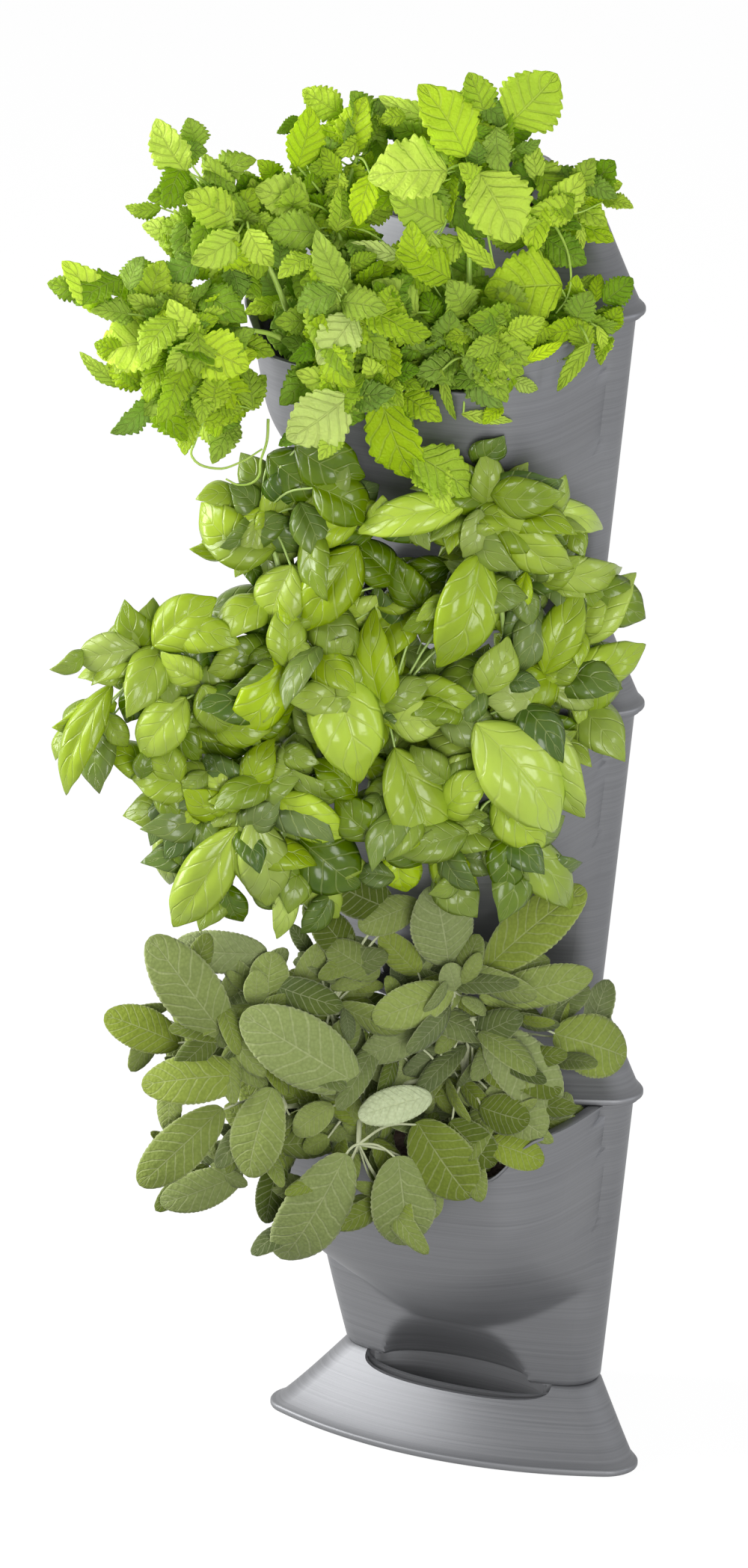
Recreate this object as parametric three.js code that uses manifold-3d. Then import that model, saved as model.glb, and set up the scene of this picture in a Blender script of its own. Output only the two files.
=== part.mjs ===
import * as THREE from 'three';
import Module from 'manifold-3d';

const wasm = await Module();
wasm.setup();

// Plan of the tower: two flat sides that meet at a right-angled back corner, and a bowed front.
// +Z is up, the front faces -Y, the back corner points to +Y, and the floor is at height zero.
const SIDE_LENGTH = 153;
const FRONT_RADIUS = 221;
const CORNER_RADIUS = 15;
const BACK_CORNER_Y = 72;

// Heights of the stack.
const LEVEL_PITCH = 200;
const BASE_HEIGHT = 33;
const HOOD_HEIGHT = 37.5;
const FIT_GAP = 0.3;

// Moulded shells.
const WALL = 2.2;
const FLANGE_HEIGHT = 3.4;
const FLANGE_BEAD = 1.4;
const HOOD_OVERHANG = 1.5;
const RIM_BAND_HEIGHT = 2.4;
const RIM_BAND_OUT = 1.8;
const POT_TOP_SIDE_INSET = 1.2;
const POT_TOP_FRONT_INSET = 2.4;
const POT_FOOT_SIDE_INSET = 6;
const POT_FOOT_FRONT_INSET = 32;
const SPIGOT_DEPTH = 18;
const SPIGOT_INSET = 2.5;
const SPIGOT_TAPER = 0.6;
const LEDGE_WIDTH = 7;
const LEDGE_THICKNESS = 2;
const LOCATING_LIP_DEPTH = 5;
const LOCATING_LIP_THICKNESS = 1.4;
const LOCATING_LIP_GAP = 0.55;
const LOCATING_LIP_TAPER = 0.25;
const SEAM_SIDE_SHARE = 0.46;
const SEAM_FRONT_SHARE = 0.9;

// Planting mouth that bulges out of the front of each pot.
const MOUTH_HALF_WIDTH = 84;
const MOUTH_FOOT_HALF_WIDTH = 66;
const MOUTH_LIP_HEIGHT = 142;
const MOUTH_REACH = 54;
const MOUTH_SQUARENESS = 12;
const BELLY_START_SIDE = 58;
const BELLY_START_MIDDLE = 27;
const BELLY_RISE = 64;
const MOUTH_BEND_SHARE = 0.93;
const MOUTH_FLAT_SHARE = 0.66;
const MOUTH_EDGE_THICKENING = 1.45;

// Thumb recess at the foot of each pot, and the crescent opening below it.
const RECESS_HALF_WIDTH = 38;
const RECESS_HEIGHT = 37;
const RECESS_DEPTH = 18;
const RECESS_EDGE_THICKENING = 2.4;
const CRESCENT_HALF_WIDTH = 50;
const CRESCENT_DEPTH = 7.5;

// Arch in the front of each hood that lets the stems out.
const ARCH_HALF_WIDTH = 60.6;
const ARCH_HEIGHT = 19;

// Tray, drain grates and soil.
const TRAY_HEIGHT = 11;
const TRAY_WALL = 2;
const GRATE_THICKNESS = 2;
const GRATE_CLEARANCE = 6;
const GRATE_SLOT_WIDTH = 4;
const GRATE_SLOT_PITCH = 12;
const GRATE_SLOTS = 6;
const GRATE_RIM = 7;
const GRATE_EDGE_GAP = 2;
const GRATE_FOOT = 6;
const FOOT_SHARES = [[-0.82, 0.5], [0.82, 0.5], [-0.4, 0.75], [0.4, 0.75], [0, 0.3]];
const DRAIN_RADIUS = 3;
const DRAIN_SHARES = [[0, 0.2], [-0.46, 0.3], [0.46, 0.3], [-0.25, 0.62], [0.25, 0.62], [-0.7, 0.45], [0.7, 0.45]];
const SOIL_CLEARANCE = 3;
const SOIL_DEPTH_BELOW_LIP = 12;

// Facets.
const CORNER_STEPS = 3;
const FRONT_STEPS = 14;
const ARCH_STEPS = 13;
const HOLE_STEPS = 12;
const SHORTEST_EDGE = 0.05;

const SHELL_COLOUR = '#8f9295';
const TRAY_COLOUR = '#3f4143';
const GRATE_COLOUR = '#4a4c4e';
const SOIL_COLOUR = '#2e241c';
const BALM_COLOUR = '#86b41c';
const BASIL_COLOUR = '#5f9a26';
const SAGE_COLOUR = '#6f8a52';

const POT_HEIGHT = LEVEL_PITCH - HOOD_HEIGHT - FIT_GAP;
const HALF_CHORD = SIDE_LENGTH * Math.SQRT1_2;
const ARC_CENTRE_Y = BACK_CORNER_Y - HALF_CHORD + Math.sqrt(FRONT_RADIUS ** 2 - HALF_CHORD ** 2);
const FRONT_Y = ARC_CENTRE_Y - FRONT_RADIUS;
const FLOOR_LEVEL = -SPIGOT_DEPTH;

const shells = new THREE.MeshStandardMaterial({ color: SHELL_COLOUR, roughness: 0.45, metalness: 0.1 });
const tray = new THREE.MeshStandardMaterial({ color: TRAY_COLOUR, roughness: 0.6 });
const grates = new THREE.MeshStandardMaterial({ color: GRATE_COLOUR, roughness: 0.6 });
const soil = new THREE.MeshStandardMaterial({ color: SOIL_COLOUR, roughness: 0.95 });

const clamp01 = (t) => Math.min(1, Math.max(0, t));
const ease = (t) => { const c = clamp01(t); return c * c * (3 - 2 * c); };

// Plan outline, counter-clockwise from the front right corner, moved in from the flange outline.
function outline(sideInset, frontInset) {
  const diagonal = Math.SQRT1_2;
  const shift = -(sideInset + CORNER_RADIUS);
  const qx = shift * diagonal;
  const qy = shift * diagonal + BACK_CORNER_Y - ARC_CENTRE_Y;
  const reach = FRONT_RADIUS - frontInset - CORNER_RADIUS;
  const b = (qx - qy) * diagonal;
  const along = -b + Math.sqrt(b * b - (qx * qx + qy * qy - reach * reach));
  const cx = qx + along * diagonal;
  const cy = qy - along * diagonal + ARC_CENTRE_Y;
  const start = Math.atan2(cy - ARC_CENTRE_Y, cx);
  const backY = BACK_CORNER_Y - (sideInset + CORNER_RADIUS) / diagonal;
  const points = [];
  const fillet = (x, y, from, to) => {
    for (let i = 0; i <= CORNER_STEPS; i += 1) {
      const a = from + (to - from) * i / CORNER_STEPS;
      points.push([x + CORNER_RADIUS * Math.cos(a), y + CORNER_RADIUS * Math.sin(a)]);
    }
  };
  fillet(cx, cy, start, Math.PI / 4);
  fillet(0, backY, Math.PI / 4, 3 * Math.PI / 4);
  fillet(-cx, cy, 3 * Math.PI / 4, Math.PI - start);
  const half = start + Math.PI / 2;
  const radius = FRONT_RADIUS - frontInset;
  for (let i = 1; i < FRONT_STEPS; i += 1) {
    const s = -1 + 2 * i / FRONT_STEPS;
    const a = -Math.PI / 2 + half * Math.sin(s * Math.PI / 2);
    points.push([radius * Math.cos(a), ARC_CENTRE_Y + radius * Math.sin(a)]);
  }
  return points;
}

const isFront = (index) => index < 2 || index > 3 * CORNER_STEPS;

// How far the front wall is pushed out by the planting mouth, at a height above the pot's foot.
function mouthPush(x, z, inset) {
  const reach = MOUTH_FOOT_HALF_WIDTH + (MOUTH_HALF_WIDTH - MOUTH_FOOT_HALF_WIDTH) * z / MOUTH_LIP_HEIGHT;
  const u = Math.abs(x) / (Math.min(reach, MOUTH_HALF_WIDTH) - inset * MOUTH_EDGE_THICKENING);
  if (u >= 1) return 0;
  const width = Math.sqrt(1 - u ** MOUTH_SQUARENESS);
  const start = BELLY_START_MIDDLE + (BELLY_START_SIDE - BELLY_START_MIDDLE) * u * u;
  return MOUTH_REACH * width * Math.sin(clamp01((z - start) / BELLY_RISE) * Math.PI / 2) ** 1.3;
}

// How far the foot of the front wall is taken in by the thumb recess.
function recessPull(x, z, inset) {
  const u = Math.abs(x) / (RECESS_HALF_WIDTH + inset * RECESS_EDGE_THICKENING);
  if (u >= 1) return 0;
  const arch = Math.sqrt(1 - u * u);
  return RECESS_DEPTH * arch * ease(1 - z / ((RECESS_HEIGHT + inset) * arch));
}

// Height of the pot's rim, which dips along the mouth.
function rimHeight(x, front) {
  if (!front) return POT_HEIGHT;
  const u = Math.abs(x) / MOUTH_HALF_WIDTH;
  const dip = 1 - ease((u - MOUTH_FLAT_SHARE) / (MOUTH_BEND_SHARE - MOUTH_FLAT_SHARE));
  return POT_HEIGHT - (POT_HEIGHT - MOUTH_LIP_HEIGHT) * dip;
}

// One ring of a pot's wall: a share of the height from foot to rim, moved in or out and up or down.
function potRing(share, inset, lift = 0) {
  const side = POT_FOOT_SIDE_INSET + (POT_TOP_SIDE_INSET - POT_FOOT_SIDE_INSET) * share + inset;
  const fore = POT_FOOT_FRONT_INSET + (POT_TOP_FRONT_INSET - POT_FOOT_FRONT_INSET) * share + inset;
  return outline(side, fore).map(([x, y], i) => {
    const front = isFront(i);
    const z = share * rimHeight(x, front) + lift;
    return front ? [x, y - mouthPush(x, z, inset) + recessPull(x, z, inset), z] : [x, y, z];
  });
}

// One ring of the plug below a pot's foot.
function plugRing(inset, z) {
  return outline(POT_FOOT_SIDE_INSET + inset, POT_FOOT_FRONT_INSET + inset)
    .map(([x, y], i) => [x, isFront(i) ? y + recessPull(x, 0, inset) : y, z]);
}

const flatRing = (side, fore, z) => outline(side, fore).map(([x, y]) => [x, y, z]);

// Front and back of the plug at a distance from its middle line, and a place given as shares of it.
function plugSpan(x, inset) {
  const side = (POT_FOOT_SIDE_INSET + inset) * Math.SQRT2;
  const radius = FRONT_RADIUS - POT_FOOT_FRONT_INSET - inset;
  const front = ARC_CENTRE_Y - Math.sqrt(radius ** 2 - x ** 2) + recessPull(x, 0, inset);
  const round = CORNER_RADIUS * Math.SQRT1_2;
  const back = Math.abs(x) > round
    ? BACK_CORNER_Y - side - Math.abs(x)
    : BACK_CORNER_Y - side - CORNER_RADIUS * Math.SQRT2 + Math.sqrt(CORNER_RADIUS ** 2 - x ** 2);
  return [front, back];
}

function plugPlace([acrossShare, depthShare], inset) {
  const x = acrossShare * Math.max(...plugRing(inset, 0).map(([across]) => across));
  const [front, back] = plugSpan(x, inset);
  return [x, front + depthShare * (back - front)];
}

// Skin over a stack of rings; a closed stack joins the last ring to the first. Both faces of a wall
// have their diagonals the same way, so that a thin wall stays whole where it twists.
function skin(rings, closed) {
  const count = rings[0].length;
  const positions = rings.flat();
  const faces = [];
  const height = (ring) => ring.reduce((sum, point) => sum + point[2], 0);
  const strip = (from, to) => {
    const [a, b] = [from * count, to * count];
    const rising = height(rings[to]) >= height(rings[from]);
    for (let i = 0; i < count; i += 1) {
      const j = (i + 1) % count;
      if (rising) faces.push([a + i, a + j, b + j], [a + i, b + j, b + i]);
      else faces.push([a + i, a + j, b + i], [a + j, b + j, b + i]);
    }
  };
  for (let k = 0; k + 1 < rings.length; k += 1) strip(k, k + 1);
  if (closed) {
    strip(rings.length - 1, 0);
  } else {
    const cap = (index, downwards) => {
      const first = index * count;
      const contour = rings[index].map(([x, y]) => new THREE.Vector2(x, y));
      for (const [i, j, k] of THREE.ShapeUtils.triangulateShape(contour, [])) {
        faces.push(downwards ? [first + k, first + j, first + i] : [first + i, first + j, first + k]);
      }
    };
    cap(0, true);
    cap(rings.length - 1, false);
  }
  const geometry = new THREE.BufferGeometry();
  geometry.setAttribute('position', new THREE.Float32BufferAttribute(positions.flat(), 3));
  geometry.setIndex(faces.flat());
  return geometry;
}

// Solids for the boolean steps.
function toSolid(geometry) {
  const p = geometry.getAttribute('position');
  const mesh = new wasm.Mesh({
    numProp: 3,
    vertProperties: new Float32Array(p.array),
    triVerts: new Uint32Array(geometry.index.array),
  });
  mesh.merge();
  return new wasm.Manifold(mesh);
}

function toGeometry(solid) {
  const mesh = solid.getMesh();
  const geometry = new THREE.BufferGeometry();
  const places = Float32Array.from(mesh.vertProperties);
  geometry.setAttribute('position', new THREE.Float32BufferAttribute(places, 3));
  geometry.setIndex(Array.from(mesh.triVerts));
  return geometry;
}

function bareSolid(geometry) {
  const bare = new THREE.BufferGeometry();
  bare.setAttribute('position', geometry.getAttribute('position').clone());
  bare.setIndex(geometry.index);
  return toSolid(bare);
}

const drum = (radius, height, x, y, z) => {
  const geometry = new THREE.CylinderGeometry(radius, radius, height, HOLE_STEPS);
  geometry.rotateX(Math.PI / 2);
  geometry.translate(x, y, z);
  return bareSolid(geometry);
};

const block = (width, depth, height, x, y, z) => {
  const geometry = new THREE.BoxGeometry(width, depth, height);
  geometry.translate(x, y, z);
  return bareSolid(geometry);
};

// A rounded arch pushed through the front wall, from one depth to another.
function archBlock(halfWidth, rise, foot, fromY, toY) {
  const shape = [];
  for (let i = 0; i <= ARCH_STEPS; i += 1) {
    const a = Math.PI * i / ARCH_STEPS;
    const c = Math.cos(a);
    const s = Math.sin(a);
    shape.push([halfWidth * Math.sign(c) * Math.abs(c) ** 0.55, foot + rise * Math.abs(s) ** 0.55]);
  }
  shape.push([-halfWidth, foot - rise], [halfWidth, foot - rise]);
  const ordered = rise > 0 ? shape : shape.reverse();
  const outlineShape = new THREE.Shape(ordered.map(([x, z]) => new THREE.Vector2(x, z)));
  const push = { depth: toY - fromY, bevelEnabled: false, steps: 1 };
  const geometry = new THREE.ExtrudeGeometry(outlineShape, push);
  geometry.rotateX(Math.PI / 2);
  geometry.translate(0, toY, 0);
  const plain = new THREE.BufferGeometry();
  plain.setAttribute('position', geometry.getAttribute('position').clone());
  plain.setIndex([...Array(geometry.getAttribute('position').count).keys()]);
  return toSolid(plain);
}

// Foliage. Leaves are placed on a sketch of the planter seen from its front right quarter: across
// and down on the sketch, and how far the point stands out in front of the tower's middle line.
const SKETCH_AZIMUTH = 26.6;
const SKETCH_ELEVATION = 21.9;
const SKETCH_DISTANCE = 8270;
const SKETCH_SCALE = 22900;
const SKETCH_MIDDLE = [500, 1048.5];
const SKETCH_AIM = [-63.6, 10.9, 313.7];
const SKETCH_PER_MM = 2.77;
const MAIN_LEAF_AREA = 4500;
const LEAF_THICKNESS = 1.3;
const STEM_RADIUS = 1.9;
const STALK_RADIUS = 1.1;
const STEM_SIDES = 4;
const STEM_FOOT = 5;
const SOIL_TOP = MOUTH_LIP_HEIGHT - SOIL_DEPTH_BELOW_LIP;

// A leaf row is [hub, base across, base down, base out, tip across, tip down, tip out, width].
// A hub row is [parent hub, across, down, out]; the first hub stands on the root.
const balm = {
  material: BALM_COLOUR, arch: 0.1, cup: -0.16, widest: 0.4, blunt: 0.75, roll: 24, level: 2,
  sprigs: {
    left: {
      root: [-45, -62],
      hubs: [
        [-1, 405, 470, 92], [0, 333, 440, 104], [1, 262, 456, 112], [0, 332, 300, 84],
        [2, 260, 505, 112],
      ],
      leaves: [
        [2, 141, 420, 108, 86, 347, 100, 50], [3, 251, 230, 82, 211, 158, 78, 57],
        [3, 251, 319, 74, 192, 299, 70, 38], [3, 316, 294, 92, 249, 258, 90, 57],
        [3, 322, 312, 100, 258, 352, 106, 52], [3, 334, 306, 102, 366, 356, 108, 45],
        [3, 300, 345, 84, 254, 368, 84, 34], [2, 213, 417, 104, 172, 394, 104, 28],
        [2, 221, 457, 112, 131, 470, 114, 85], [4, 169, 516, 102, 108, 470, 100, 25],
        [4, 251, 512, 120, 188, 552, 122, 56], [4, 251, 539, 110, 262, 587, 108, 30],
        [2, 262, 451, 116, 228, 401, 118, 44], [2, 269, 421, 100, 324, 398, 98, 46],
        [2, 258, 457, 122, 225, 497, 124, 36], [2, 264, 457, 118, 334, 493, 122, 72],
        [4, 274, 501, 112, 341, 539, 112, 50], [4, 280, 543, 102, 305, 581, 100, 52],
      ],
    },
    middle: {
      root: [-5, -66],
      hubs: [
        [-1, 470, 455, 90], [0, 455, 300, 78], [0, 470, 405, 112], [0, 500, 512, 120],
        [1, 480, 210, 66],
      ],
      leaves: [
        [1, 399, 225, 68, 418, 143, 62, 55], [4, 473, 205, 62, 490, 129, 56, 55],
        [4, 499, 233, 84, 480, 302, 92, 40], [1, 416, 271, 84, 343, 252, 82, 62],
        [1, 458, 233, 72, 433, 197, 68, 28], [1, 381, 294, 72, 328, 264, 66, 50],
        [2, 460, 384, 116, 425, 310, 120, 45], [2, 477, 420, 118, 427, 487, 128, 60],
        [2, 485, 410, 112, 437, 418, 112, 36], [2, 488, 413, 118, 551, 447, 122, 60],
        [3, 515, 453, 112, 526, 522, 122, 48], [3, 466, 520, 118, 397, 497, 116, 40],
        [3, 468, 530, 124, 385, 589, 126, 82], [3, 509, 524, 122, 561, 646, 114, 75],
        [3, 552, 606, 122, 633, 662, 122, 70], [3, 505, 512, 118, 490, 478, 122, 34],
        [1, 538, 344, 88, 463, 327, 92, 26],
      ],
    },
    right: {
      root: [42, -64],
      hubs: [
        [-1, 630, 440, 88], [0, 628, 225, 74], [1, 735, 285, 66], [0, 765, 432, 92],
        [0, 632, 478, 110],
      ],
      leaves: [
        [1, 626, 210, 80, 565, 112, 72, 80], [1, 600, 165, 60, 508, 130, 54, 36],
        [1, 652, 157, 58, 630, 97, 52, 50], [1, 683, 166, 60, 748, 100, 54, 92],
        [1, 653, 191, 56, 714, 176, 50, 46], [1, 601, 229, 88, 494, 237, 92, 95],
        [1, 643, 231, 86, 691, 325, 96, 98], [2, 721, 245, 62, 712, 185, 54, 28],
        [2, 735, 290, 68, 783, 231, 64, 48], [2, 783, 271, 56, 815, 264, 54, 26],
        [2, 727, 271, 76, 714, 340, 84, 44], [2, 779, 300, 62, 777, 344, 68, 14],
        [3, 798, 405, 84, 804, 367, 76, 22], [3, 798, 417, 88, 827, 428, 88, 22],
        [3, 800, 436, 98, 810, 476, 96, 16], [3, 792, 459, 112, 746, 524, 119, 24],
        [3, 754, 382, 86, 650, 390, 94, 98], [1, 664, 359, 100, 612, 304, 98, 25],
        [1, 580, 310, 92, 578, 375, 98, 42], [4, 635, 466, 112, 706, 486, 119, 54],
        [4, 706, 482, 121, 754, 459, 116, 18], [3, 773, 438, 98, 725, 447, 110, 40],
        [4, 630, 405, 94, 630, 455, 98, 60], [4, 643, 508, 120, 685, 509, 121, 24],
        [4, 618, 554, 120, 687, 564, 120, 18], [4, 687, 508, 120, 721, 522, 119, 22],
        [4, 614, 463, 106, 568, 501, 112, 40], [4, 591, 493, 118, 610, 564, 118, 15],
      ],
    },
  },
};

const basil = {
  material: BASIL_COLOUR, arch: 0.16, cup: 0.34, widest: 0.42, blunt: 0.66, roll: 20, level: 1,
  sprigs: {
    left: {
      root: [-45, -62],
      hubs: [
        [-1, 400, 1010, 100], [0, 300, 925, 110], [1, 200, 880, 112], [0, 322, 1080, 124],
        [3, 265, 1060, 118],
      ],
      leaves: [
        [2, 150, 914, 108, 85, 1063, 112, 50], [2, 186, 865, 112, 99, 880, 110, 55],
        [2, 205, 863, 116, 287, 798, 114, 70], [2, 199, 903, 104, 167, 966, 104, 46],
        [1, 270, 911, 116, 216, 874, 120, 46], [1, 249, 932, 118, 186, 1014, 120, 66],
        [4, 266, 1052, 120, 176, 1038, 118, 60], [1, 340, 862, 112, 279, 903, 120, 52],
        [1, 272, 915, 122, 308, 989, 124, 56], [3, 329, 1067, 124, 363, 987, 122, 50],
        [3, 312, 1067, 122, 275, 1029, 120, 38], [3, 367, 1063, 128, 464, 1122, 132, 62],
        [4, 266, 1063, 122, 241, 1126, 118, 30], [4, 248, 1084, 112, 222, 1185, 108, 56],
        [3, 317, 1105, 130, 228, 1244, 124, 68], [3, 338, 1092, 132, 361, 1214, 126, 72],
        [3, 300, 1180, 112, 323, 1234, 110, 44], [3, 384, 1147, 122, 371, 1258, 112, 38],
        [3, 397, 1118, 116, 481, 1189, 120, 90], [3, 397, 1130, 108, 451, 1231, 104, 60],
      ],
    },
    middle: {
      root: [-5, -66],
      hubs: [
        [-1, 500, 985, 100], [0, 397, 852, 112], [0, 518, 960, 120], [1, 350, 690, 96],
        [0, 585, 1105, 128],
      ],
      leaves: [
        [3, 392, 756, 110, 361, 840, 116, 75], [3, 355, 678, 98, 321, 737, 98, 45],
        [3, 346, 693, 102, 329, 754, 106, 34], [3, 359, 608, 96, 439, 663, 102, 75],
        [3, 414, 600, 92, 472, 684, 104, 62], [3, 480, 697, 110, 401, 726, 104, 46],
        [1, 480, 730, 114, 405, 844, 122, 74], [1, 384, 874, 118, 310, 989, 128, 74],
        [1, 392, 848, 118, 374, 798, 118, 27], [1, 397, 853, 122, 407, 903, 128, 36],
        [1, 439, 886, 118, 485, 1049, 134, 98], [1, 456, 828, 104, 527, 801, 104, 45],
        [2, 518, 957, 118, 498, 815, 112, 62], [2, 543, 919, 116, 640, 942, 128, 54],
        [2, 520, 962, 124, 598, 962, 130, 58], [2, 527, 1000, 126, 581, 1158, 134, 86],
        [4, 585, 1120, 126, 634, 1223, 122, 60], [4, 590, 1091, 124, 652, 1033, 137, 60],
        [4, 590, 1100, 128, 648, 1118, 128, 40], [4, 532, 1131, 116, 540, 1196, 116, 60],
      ],
    },
    right: {
      root: [42, -64],
      hubs: [
        [-1, 690, 985, 96], [0, 650, 680, 118], [0, 728, 918, 104], [0, 640, 960, 120],
        [3, 636, 1098, 128], [2, 703, 762, 100],
      ],
      leaves: [
        [1, 648, 680, 116, 652, 602, 118, 50], [1, 679, 663, 113, 706, 620, 113, 30],
        [1, 670, 674, 118, 813, 707, 88, 45], [1, 661, 680, 122, 766, 770, 122, 72],
        [1, 643, 681, 124, 623, 748, 130, 42], [1, 625, 676, 122, 475, 710, 118, 54],
        [1, 600, 694, 112, 491, 707, 108, 55], [1, 643, 739, 126, 592, 899, 138, 85],
        [3, 643, 930, 122, 683, 855, 118, 60], [2, 728, 930, 112, 654, 940, 126, 68],
        [2, 728, 902, 108, 777, 788, 100, 60], [5, 706, 756, 100, 842, 768, 76, 50],
        [2, 782, 864, 92, 849, 765, 78, 60], [2, 746, 913, 102, 866, 864, 84, 60],
        [2, 732, 921, 108, 804, 940, 100, 40], [3, 636, 968, 133, 752, 1114, 137, 108],
        [3, 724, 960, 126, 777, 1102, 125, 68], [4, 636, 1100, 126, 777, 1216, 112, 74],
        [4, 661, 1064, 130, 728, 1136, 129, 68], [5, 607, 756, 104, 527, 774, 100, 36],
        [5, 697, 761, 98, 661, 739, 100, 30], [5, 705, 765, 102, 697, 828, 104, 30],
        [5, 661, 801, 96, 697, 855, 96, 40],
      ],
    },
  },
};

const sage = {
  material: SAGE_COLOUR, arch: 0.08, cup: 0.16, widest: 0.52, blunt: 0.42, roll: 16, level: 0,
  sprigs: {
    left: {
      root: [-45, -62],
      hubs: [[-1, 380, 1480, 104], [0, 340, 1410, 112]],
      leaves: [
        [1, 303, 1390, 116, 201, 1253, 112, 80], [1, 240, 1396, 100, 139, 1356, 96, 60],
        [1, 357, 1275, 96, 233, 1265, 92, 60], [1, 328, 1437, 120, 188, 1450, 122, 68],
        [0, 296, 1481, 118, 184, 1585, 122, 66], [0, 323, 1569, 110, 213, 1609, 112, 54],
        [0, 363, 1454, 124, 330, 1574, 130, 74], [1, 357, 1342, 106, 363, 1273, 102, 56],
        [1, 340, 1346, 112, 343, 1298, 112, 34], [0, 373, 1545, 112, 353, 1636, 106, 42],
      ],
    },
    middle: {
      root: [-5, -66],
      hubs: [[-1, 480, 1480, 104], [0, 440, 1350, 100], [0, 478, 1530, 124], [0, 592, 1440, 112]],
      leaves: [
        [0, 478, 1450, 122, 323, 1356, 128, 95], [1, 394, 1339, 104, 428, 1262, 98, 38],
        [2, 461, 1543, 128, 374, 1687, 120, 90], [0, 444, 1478, 112, 391, 1515, 112, 42],
        [0, 438, 1521, 112, 404, 1538, 112, 28], [1, 424, 1302, 92, 500, 1325, 96, 50],
        [0, 475, 1467, 110, 468, 1518, 112, 30], [3, 579, 1367, 108, 481, 1415, 112, 50],
        [3, 579, 1431, 104, 490, 1434, 104, 40], [1, 560, 1208, 100, 478, 1240, 98, 50],
        [3, 560, 1303, 96, 509, 1249, 98, 44], [0, 576, 1466, 122, 478, 1493, 130, 52],
        [2, 530, 1546, 128, 542, 1667, 126, 88], [2, 583, 1587, 120, 574, 1631, 120, 25],
        [2, 556, 1500, 124, 627, 1603, 128, 85],
      ],
    },
    right: {
      root: [42, -64],
      hubs: [[-1, 620, 1440, 100], [0, 605, 1325, 104], [1, 648, 1297, 100], [0, 630, 1362, 108]],
      leaves: [
        [1, 605, 1324, 110, 497, 1364, 118, 58], [1, 599, 1291, 104, 580, 1185, 112, 86],
        [2, 648, 1297, 105, 780, 1188, 102, 74], [2, 640, 1335, 104, 793, 1304, 88, 56],
        [3, 650, 1377, 112, 745, 1479, 118, 80], [3, 739, 1383, 98, 838, 1415, 84, 84],
        [0, 650, 1457, 114, 726, 1520, 121, 78], [0, 650, 1527, 119, 726, 1555, 120, 48],
        [1, 608, 1326, 110, 599, 1289, 112, 36], [3, 592, 1442, 108, 599, 1404, 110, 28],
        [3, 630, 1431, 108, 656, 1415, 110, 32], [1, 615, 1364, 100, 669, 1351, 98, 22],
        [0, 611, 1447, 104, 643, 1479, 106, 32],
      ],
    },
  },
};

const vector = (x, y, z) => new THREE.Vector3(x, y, z);

// Point in the tower's frame for a place on the sketch.
function fromSketch(across, down, out) {
  const az = THREE.MathUtils.degToRad(SKETCH_AZIMUTH);
  const el = THREE.MathUtils.degToRad(SKETCH_ELEVATION);
  const back = vector(Math.sin(az) * Math.cos(el), -Math.cos(az) * Math.cos(el), Math.sin(el));
  const right = vector(Math.cos(az), Math.sin(az), 0);
  const up = back.clone().cross(right);
  const level = vector(Math.sin(az), -Math.cos(az), 0);
  const eye = vector(...SKETCH_AIM).addScaledVector(back, SKETCH_DISTANCE);
  const ray = back.clone().multiplyScalar(-SKETCH_SCALE)
    .addScaledVector(right, across - SKETCH_MIDDLE[0])
    .addScaledVector(up, SKETCH_MIDDLE[1] - down);
  return eye.addScaledVector(ray, (out - eye.dot(level)) / ray.dot(level));
}

// Axes of a leaf: along it, across it and its face normal, turned about its length.
function leafAxes(base, tip, turn) {
  const along = tip.clone().sub(base);
  const az = THREE.MathUtils.degToRad(SKETCH_AZIMUTH);
  const face = vector(Math.sin(az), -Math.cos(az), 0.4);
  const across = along.clone().cross(face).normalize().applyAxisAngle(along.clone().normalize(), turn);
  const normal = across.clone().cross(along).normalize();
  return { along, across, normal };
}

const leafWidthAt = (kind, s) => {
  const t = s < kind.widest ? s / kind.widest * 0.5 : 0.5 + (s - kind.widest) / (1 - kind.widest) * 0.5;
  return Math.sin(Math.PI * t) ** kind.blunt;
};

// Thin closed leaf: three points across at each of four stations, on both faces.
function leafSolid(kind, base, tip, width, turn) {
  const { along, across, normal } = leafAxes(base, tip, turn);
  const length = along.length();
  const stations = [0.03, 0.26, 0.66, 0.96];
  const positions = [];
  for (const face of [1, -1]) {
    for (const s of stations) {
      const half = Math.max(leafWidthAt(kind, s) * width / 2, 0.7);
      const lift = 4 * kind.arch * length * s * (1 - s);
      for (const t of [-1, 0, 1]) {
        const fall = kind.cup * half * t * t;
        positions.push(base.clone().addScaledVector(along, s).addScaledVector(across, half * t)
          .addScaledVector(normal, lift - fall + face * LEAF_THICKNESS / 2).toArray());
      }
    }
  }
  const faces = [];
  const quad = (a, b, c, d) => faces.push([a, b, c], [a, c, d]);
  const last = stations.length - 1;
  const under = stations.length * 3;
  for (let k = 0; k < last; k += 1) {
    for (let i = 0; i < 2; i += 1) {
      const a = k * 3 + i;
      quad(a, a + 3, a + 4, a + 1);
      quad(under + a, under + a + 1, under + a + 4, under + a + 3);
    }
    quad(k * 3, under + k * 3, under + k * 3 + 3, k * 3 + 3);
    quad(k * 3 + 2, k * 3 + 5, under + k * 3 + 5, under + k * 3 + 2);
  }
  for (let i = 0; i < 2; i += 1) {
    quad(i, i + 1, under + i + 1, under + i);
    quad(last * 3 + i, under + last * 3 + i, under + last * 3 + i + 1, last * 3 + i + 1);
  }
  const geometry = new THREE.BufferGeometry();
  geometry.setAttribute('position', new THREE.Float32BufferAttribute(positions.flat(), 3));
  geometry.setIndex(faces.flat());
  let solid = toSolid(geometry);
  if (solid.volume() < 0) {
    geometry.setIndex(faces.map(([a, b, c]) => [a, c, b]).flat());
    solid = toSolid(geometry);
  }
  return solid;
}

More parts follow.
